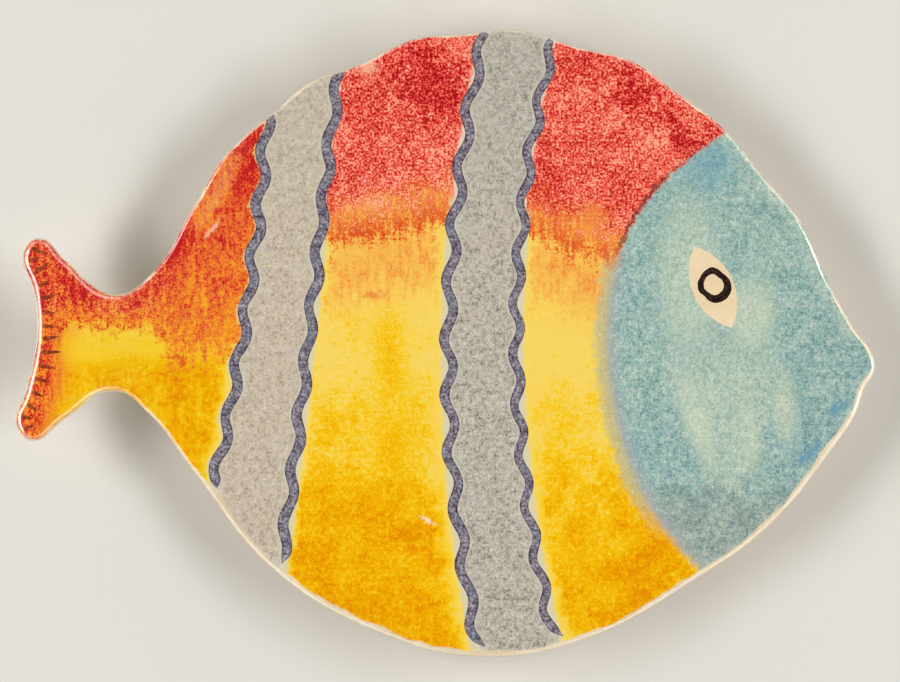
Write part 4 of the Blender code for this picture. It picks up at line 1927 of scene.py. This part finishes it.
@dataclass
class FaceCoats:
    """The painted coats of the face, and the eye's cream within the head.

    Attributes:
        overrun: How far past belly and back the areas are cut, in millimetres.
    """

    blank: Blank
    eye: EyeShape
    finishes: Dict[Coat, Finish]
    eye_finish: Finish
    overrun: float = 4.0
    strip_steps: int = 240
    patches: Optional[Patchwork] = None

    def strip(self, left: Callable[[float], float], right: Callable[[float], float]) -> List[Vector]:
        """Set out the area between two lines.

        Args:
            left: The left line's place along the plate at a height.
            right: The right line's.

        Returns:
            The area's outline, anticlockwise.
        """
        reach = TO_MM * self.blank.outline.half_height + self.overrun
        heights = [reach * (2 * step / self.strip_steps - 1) for step in range(self.strip_steps + 1)]
        up = [Vector((right(y), y)) * MM for y in heights]
        down = [Vector((left(y), y)) * MM for y in reversed(heights)]
        return up + down

    def build(self) -> None:
        """Cut the face into its areas."""
        outline = self.blank.outline
        far = TO_MM * outline.plate_length
        lines = [lambda y: -far, *(line.place for line in LINES.values()), HEAD_LINE.place, lambda y: far]
        loops = {"face": inset(self.blank.edge, self.blank.section.rim_band)}
        for coat, left, right in zip(Coat, lines, lines[1:]):
            loops[coat.name] = self.strip(left, right)
        loops["almond"] = self.eye.almond(outline)
        loops["ring"], _ = self.eye.ring(outline)
        self.patches = Patchwork(loops, self.blank.spacing)

    def sheet(self, inside: List[str], outside: List[str], height: float) -> Sheet:
        """One area of the face at a height over the glazed face."""
        return self.patches.sheet(["face", *inside], outside, lambda place: height, self.blank.lip)

    def guide(self, potter: Potter) -> Object:
        """Make one surface of face and lip, for the brush to follow.

        Args:
            potter: Who shapes the pieces.

        Returns:
            The surface.
        """
        rings, lips = self.blank.lip_rings(self.blank.section.edge_radius)
        rings = [self.blank.ring(self.blank.section.rim_band, 0.0), *rings]
        whole = self.sheet([], [], 0.0).extend(band(rings, [0.0, *lips], False))
        return potter.shape(whole.object("face_guide"), potter.trees.solid, {})

    def dress(self, potter: Potter) -> None:
        """Fire each coat in its own finish.

        Args:
            potter: Who shapes the pieces.
        """
        glaze = self.blank.section.glaze
        slots = {Coat.TAIL: Slot.TAIL_RED, Coat.REAR_STRIPE: Slot.GREY, Coat.MIDDLE: Slot.SUN,
                 Coat.FRONT_STRIPE: Slot.GREY, Coat.SHOULDER: Slot.SUN, Coat.HEAD: Slot.TURQUOISE}
        for coat in Coat:
            left_out = ["almond"] if coat is Coat.HEAD else []
            item = self.sheet([coat.name], left_out, -glaze).object(f"painted_{coat.value}")
            potter.shape(item, potter.trees.coat, {"Finish": self.finishes[coat].material()})
            potter.hand_over(item, slots[coat], coat.value)
        cream = self.eye_finish.material()
        creams = (("eye_white", ["almond"], ["ring"]), ("eye_centre", ["ring"], []))
        for node, inside, outside in creams:
            item = self.sheet(inside, outside, -glaze).object(f"painted_{node}")
            potter.shape(item, potter.trees.coat, {"Finish": cream})
            potter.hand_over(item, Slot.CREAM, node)


def path_object(name: str, points: Sequence[Vector], presses: Sequence[float], closed: bool) -> Object:
    """An unlinked object whose edges run from point to point.

    Args:
        name: The object's name.
        points: Where the brush went.
        presses: How hard it was pressed at each point, as a share of its width.
        closed: Whether it came back to the first point.

    Returns:
        The object, with the pressure as an attribute of its points.
    """
    mesh = bpy.data.meshes.new(name)
    count = len(points)
    links = [(here, here + 1) for here in range(count - 1)]
    if closed:
        links.append((count - 1, 0))
    mesh.from_pydata([(*point, 0) for point in points], links, [])
    mesh.attributes.new("press", "FLOAT", "POINT").data.foreach_set("value", presses)
    return bpy.data.objects.new(name, mesh)


@dataclass
class BrushWork:
    """What was drawn with a brush over the sponged coats: the wavy lines, the eye's ring and tail strokes.

    Attributes:
        back_room: How near the edge a line runs at the back, in metres.
        belly_room: The same at the belly.
        stroke_room: How far in from the end of the tail its strokes start.
        end_facing: How squarely the outline faces away from the mouth where it counts as the tail's end.
    """

    blank: Blank
    eye: EyeShape
    line_finish: Finish
    ring_finish: Finish
    stroke_finish: Finish
    back_room: float = -0.0006
    belly_room: float = 0.0022
    stroke_room: float = 0.0022
    end_facing: float = 0.8
    line_step: float = 0.6

    def line_path(self, line: BrushLine) -> List[Vector]:
        """Follow a wavy line as far as the brush went.

        Args:
            line: The line.

        Returns:
            Points along it, in metres.
        """
        reach = TO_MM * self.blank.outline.half_height
        heights = [-reach + self.line_step * step for step in range(int(2 * reach / self.line_step))]
        points = [Vector((line.place(y), y)) * MM for y in heights]
        inside = []
        for point in points:
            room = self.back_room if point.y > 0 else self.belly_room
            if self.blank.lip(point) > room:
                inside.append(point)
        return inside

    def tail_path(self) -> List[Vector]:
        """Follow the end of the tail.

        Returns:
            Points along it, from the upper lobe to the lower one.
        """
        pairs = zip(inset(self.blank.edge, self.stroke_room), self.blank.inward)
        return [point for point, way in pairs
                if way.x > self.end_facing and point.x < self.blank.outline.neck]

    def dress(self, potter: Potter, surface: Object) -> None:
        """Draw everything on the surface of the face.

        Args:
            potter: Who shapes the pieces.
            surface: What the brush follows.
        """
        trees = potter.trees
        violet = self.line_finish.material()
        for number, (node, line) in enumerate(LINES.items()):
            path = self.line_path(line)
            item = path_object(f"brushed_{node}", path, [1.0] * len(path), False)
            inputs = {"Width": line.width * MM, "Seed": float(number), "Surface": surface, "Finish": violet}
            potter.shape(item, trees.brush, inputs)
            potter.hand_over(item, Slot.VIOLET, node)
        ring = path_object("brushed_eye_ring", *self.eye.ring(self.blank.outline), True)
        inputs = {"Width": self.eye.ring_width, "Crown": 0.00016, "Unevenness": 0.22, "Grain": 0.0024,
                  "Point": -0.001, "Taper": 0.006, "Seed": 9.0, "Surface": surface,
                  "Finish": self.ring_finish.material()}
        potter.shape(ring, trees.brush, inputs)
        potter.hand_over(ring, Slot.BLACK, "eye_ring")
        path = self.tail_path()
        strokes = path_object("tail_strokes", path, [1.0] * len(path), False)
        potter.shape(strokes, trees.strokes, {"Surface": surface, "Finish": self.stroke_finish.material()})
        potter.hand_over(strokes, Slot.BLACK)


@dataclass
class Studio:
    """A pale floor, two soft lamps, cards for the rim's gloss, and a camera that looks straight down.

    Attributes:
        rim: The piece that the cards are for. Elsewhere they would veil the paint when seen from a side.
        width: What the image's width spans at the height of the rim, in metres.
        card_base: Share of a card's power at the sides of the plate.
        floor_height: Just under the foot, so that the two never coincide.
        side_light: How much brighter the room is at the sides than overhead.
    """

    rim: Object
    width: float = 0.28968
    aim: Point = (0.0012, 0.0006)
    rim_height: float = 0.020
    distance: float = 1.4
    sensor: float = 36.0
    lamp_power: float = 36.4
    lamp_size: Point = (1.8, 0.6)
    lamp_distance: float = 2.2
    lamp_rise: float = 38.0
    card_count: int = 8
    card_power: float = 100.0
    card_size: Point = (1.72, 1.16)
    card_rise: float = 25.0
    card_base: float = 0.15
    floor_height: float = -0.0001
    floor_reach: float = 4.0
    floor_colour: Rgb = (226, 222, 214)
    side_light: float = 0.57
    top_light: float = 0.03

    def build(self) -> None:
        """Set up the floor, the light and the camera."""
        self.floor()
        for name, azimuth in (("left_lamp", 180.0), ("right_lamp", 0.0)):
            self.lamp(name, azimuth, self.lamp_rise, self.lamp_power, self.lamp_size)
        self.cards()
        self.world()
        self.camera()
        bpy.context.scene.view_settings.view_transform = "Standard"

    def floor(self) -> None:
        """A wide pale floor."""
        shape = bmesh.new()
        bmesh.ops.create_grid(shape, x_segments=2, y_segments=2, size=self.floor_reach)
        mesh = bpy.data.meshes.new("floor")
        shape.to_mesh(mesh)
        shape.free()
        material = bpy.data.materials.new("pale_floor")
        material.use_nodes = True
        shader = material.node_tree.nodes["Principled BSDF"]
        shader.inputs["Base Color"].default_value = paint(self.floor_colour)
        shader.inputs["Roughness"].default_value = 1.0
        shader.inputs["Specular IOR Level"].default_value = 0.0
        mesh.materials.append(material)
        item = bpy.data.objects.new("floor", mesh)
        item.location.z = self.floor_height
        bpy.context.scene.collection.objects.link(item)
        item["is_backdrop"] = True

    def lamp(self, name: str, azimuth: float, elevation: float, power: float, size: Point) -> Object:
        """A soft lamp at one side, turned to the plate.

        Args:
            name: The lamp's name.
            azimuth: Its side, in degrees from the mouth round by the back.
            elevation: How high it stands, in degrees.
            power: Its power in watts.
            size: Its width and height.

        Returns:
            The lamp.
        """
        light = bpy.data.lights.new(name, "AREA")
        light.shape = "RECTANGLE"
        light.size, light.size_y = size
        light.energy = power
        item = bpy.data.objects.new(name, light)
        turn, rise = math.radians(azimuth), math.radians(elevation)
        way = Vector((math.cos(turn) * math.cos(rise), math.sin(turn) * math.cos(rise), math.sin(rise)))
        item.location = way * self.lamp_distance
        item.rotation_euler = (-way).to_track_quat("-Z", "Y").to_euler()
        bpy.context.scene.collection.objects.link(item)
        return item

    def cards(self) -> None:
        """White cards all round, brightest at both ends of the plate, for the rim's gloss alone."""
        glossy = bpy.data.collections.new("glossy_rim")
        glossy.objects.link(self.rim)
        for number in range(self.card_count):
            azimuth = 360.0 * number / self.card_count
            ends = (1 - self.card_base) * math.cos(math.radians(azimuth)) ** 4
            power = self.card_power * (self.card_base + ends)
            card = self.lamp(f"card_{number}", azimuth, self.card_rise, power, self.card_size)
            card.visible_diffuse = False
            card.light_linking.receiver_collection = glossy

    def world(self) -> None:
        """Soft light from all round, dim overhead so that it lays no veil over the glaze."""
        world = bpy.data.worlds.new("soft_room")
        bpy.context.scene.world = world
        world.use_nodes = True
        bench = Bench(world.node_tree)
        up = bench.parts(bench.add("ShaderNodeTexCoord").outputs["Generated"])[2]
        ground = world.node_tree.nodes["Background"]
        ground.inputs["Color"].default_value = (1.0, 0.99, 0.97, 1.0)
        bench.feed(ground.inputs["Strength"], bench.ramp(up, 0.75, 0.25) * self.side_light + self.top_light)

    def camera(self) -> None:
        """A long lens straight above the plate."""
        lens = bpy.data.cameras.new("camera")
        lens.sensor_width = self.sensor
        lens.lens = self.sensor * self.distance / self.width
        item = bpy.data.objects.new("camera", lens)
        item.location = (*self.aim, self.rim_height + self.distance)
        bpy.context.scene.collection.objects.link(item)
        bpy.context.scene.camera = item


def face_finishes() -> Dict[Coat, Finish]:
    """Mix the paints of the face.

    Returns:
        The finishes by coat.
    """
    first, second, third, fourth = LINES.values()
    # pale is the colour of a painted highlight on the tail
    hot, pale, blue = (224, 84, 34), (252, 200, 168), (92, 150, 178)
    tail = TailPaint(
        "tail_paint", right=first, bare=(243, 194, 126), seed=20,
        dabs=(Dab(-73.5, 49.5, 15.0, 3.0, 0.35, 63.0, (244, 168, 112)),
              # painted highlight: a pale pink-white streak that stands for a glint of light on the glaze
              Dab(-75.4, 36.9, 0.9, 4.2, 0.7, -42.0, pale),
              Dab(-87.5, -4.6, 4.6, 1.1, 0.8, -6.0, hot), Dab(-85.0, -6.4, 1.9, 1.8, 0.85, 0.0, hot),
              Dab(-89.0, -6.9, 1.4, 1.0, 0.6, 0.0, hot)),
        denser=(Smudge(-86.5, 30.5, 3.0, 8.0, 0.6, -35.0), Smudge(-98.0, 14.5, 9.0, 3.5, 0.5, 25.0),
                Smudge(-119.0, 17.0, 7.0, 4.0, 0.7, -40.0), Smudge(-102.0, -4.5, 5.5, 3.0, 0.8),
                Smudge(-63.5, 57.0, 16.0, 5.0, 0.75, 74.0), Smudge(-73.5, 49.5, 15.0, 4.0, -0.5, 63.0),
                Smudge(-81.0, 16.0, 4.0, 10.0, -0.5, 10.0), Smudge(-77.5, 41.5, 6.0, 8.0, -0.5),
                Smudge(-76.0, 25.0, 6.0, 10.0, -0.3)))
    middle = SunPaint(
        "middle_paint", left=second, right=third, middle=-18.0, column=0.26, red_edge=44.0, red_slope=0.18,
        orange_low=9.0, orange_high=46.0, amber_high=7.0, amber_low=-70.0, right_margin=7.0, seed=30,
        dabs=(Dab(-25.5, 89.0, 4.0, 2.5, 0.6, 0.0, (246, 196, 160)),
              Dab(-24.0, 15.5, 4.5, 1.6, 0.6, 0.0, (232, 110, 52)),
              # painted highlight: this near-white spot stands for a small reflection of light on the glaze
              Dab(-6.0, -57.5, 2.8, 1.0, 0.85, -28.0, (252, 236, 214))),
        denser=(Smudge(-5.0, 85.0, 13.0, 13.0, 0.7), Smudge(-25.0, 45.5, 9.0, 3.5, -0.7, 12.0),
                Smudge(-34.0, 49.0, 3.5, 8.0, -0.5), Smudge(-30.0, -52.0, 7.0, 6.0, 0.6),
                Smudge(-12.0, -66.0, 12.0, 7.0, 0.1), Smudge(-30.0, -36.0, 9.0, 7.0, -0.5),
                Smudge(-3.0, -46.0, 6.0, 8.0, -0.5)))
    shoulder = SunPaint(
        "shoulder_paint", left=fourth, red_left=0.9, middle=36.0, column=0.1, red_edge=40.0,
        red_slope=-0.35, orange_low=5.0, orange_high=42.0, amber_high=-12.0, amber_low=-80.0,
        left_margin=5.0, seed=110,
        dabs=(Dab(47.0, 40.5, 5.0, 6.0, 0.6, 0.0, (246, 150, 62)),),
        denser=(Smudge(62.0, 76.0, 13.0, 9.0, 0.7, -38.0), Smudge(77.0, 66.0, 8.0, 5.0, 0.7, -38.0),
                Smudge(44.0, 50.0, 10.0, 8.0, -0.4), Smudge(62.0, -70.0, 16.0, 5.0, 0.8, 30.0),
                Smudge(42.0, -62.0, 5.0, 9.0, 0.5), Smudge(44.0, -46.0, 7.0, 6.0, -0.5)))
    head = HeadPaint("head_paint", dabs=(
        Dab(126.0, -21.2, 4.4, 2.2, 0.65, 40.0, blue), Dab(116.8, -36.1, 5.5, 1.7, 0.65, 42.0, blue),
        Dab(85.0, 57.0, 9.0, 10.0, 0.5, -40.0, (112, 166, 180))))
    front = {"shoulder": shoulder, "head": head}
    rear_grey = StripePaint("rear_stripe_paint", left=first, right=second, seed=40, cool=(192, 188, 172),
                            greys=((164, 150, 130), (196, 182, 160), (209, 195, 173), (226, 212, 192)))
    front_grey = StripePaint("front_stripe_paint", left=third, right=fourth, seed=45,
                             greys=((128, 123, 112), (176, 168, 154), (198, 190, 173), (220, 212, 195)))
    return {
        Coat.TAIL: tail, Coat.REAR_STRIPE: rear_grey, Coat.MIDDLE: middle, Coat.FRONT_STRIPE: front_grey,
        Coat.SHOULDER: FrontPaint("shoulder_front_paint", **front),
        Coat.HEAD: FrontPaint("head_front_paint", **front)}


def main() -> None:
    """Build the plate's sub-assemblies in order, and the studio round them."""
    logging.basicConfig(level=logging.INFO, format="%(name)s: %(message)s")
    outline, section, foot, eye = FishOutline(), Section(), FootRing(), EyeShape()
    dish = Dish(outline, section, foot)
    blank = Blank(outline, section, foot, dish)
    potter = Potter(PlateTrees(dish))
    finishes = face_finishes()
    cream = CreamGlaze("cream_back")
    eye_cream = CreamGlaze("eye_cream", tones=((246, 224, 186), (236, 209, 167)), specks=0.2)
    ClayBody(blank).dress(potter)
    coats = tuple(finishes[coat] for coat in list(Coat)[:-1])   # the shoulder's holds the head's too
    rim = RimPaint("rim_paint", coats=coats, edges=tuple(LINES.values()))
    glossy_rim = CreamCoats(blank, rim, cream).dress(potter)
    face = FaceCoats(blank, eye, finishes, eye_cream)
    face.build()
    face.dress(potter)
    surface = face.guide(potter)
    violet = BrushPaint("violet_brush", 0.2)
    black = BrushPaint("black_brush", 0.2, seed=95, tint=(36, 28, 30),
                       tones=((22, 12, 9), (34, 20, 16), (70, 50, 40)))
    brown = BrushPaint("brown_brush", 0.2, seed=98, tint=(134, 52, 34), gather=0.0,
                       tones=((100, 34, 22), (138, 54, 34), (186, 92, 54)))
    BrushWork(blank, eye, violet, black, brown).dress(potter, surface)
    bpy.data.objects.remove(surface)
    Studio(glossy_rim).build()
    LOG.info("%d pieces", len(potter.made))
    boxes = {"cad": CAD_BOX, "visual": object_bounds()}
    {name: [list(corner) for corner in box] for name, box in boxes.items()}


if __name__ == "__main__":
    main()
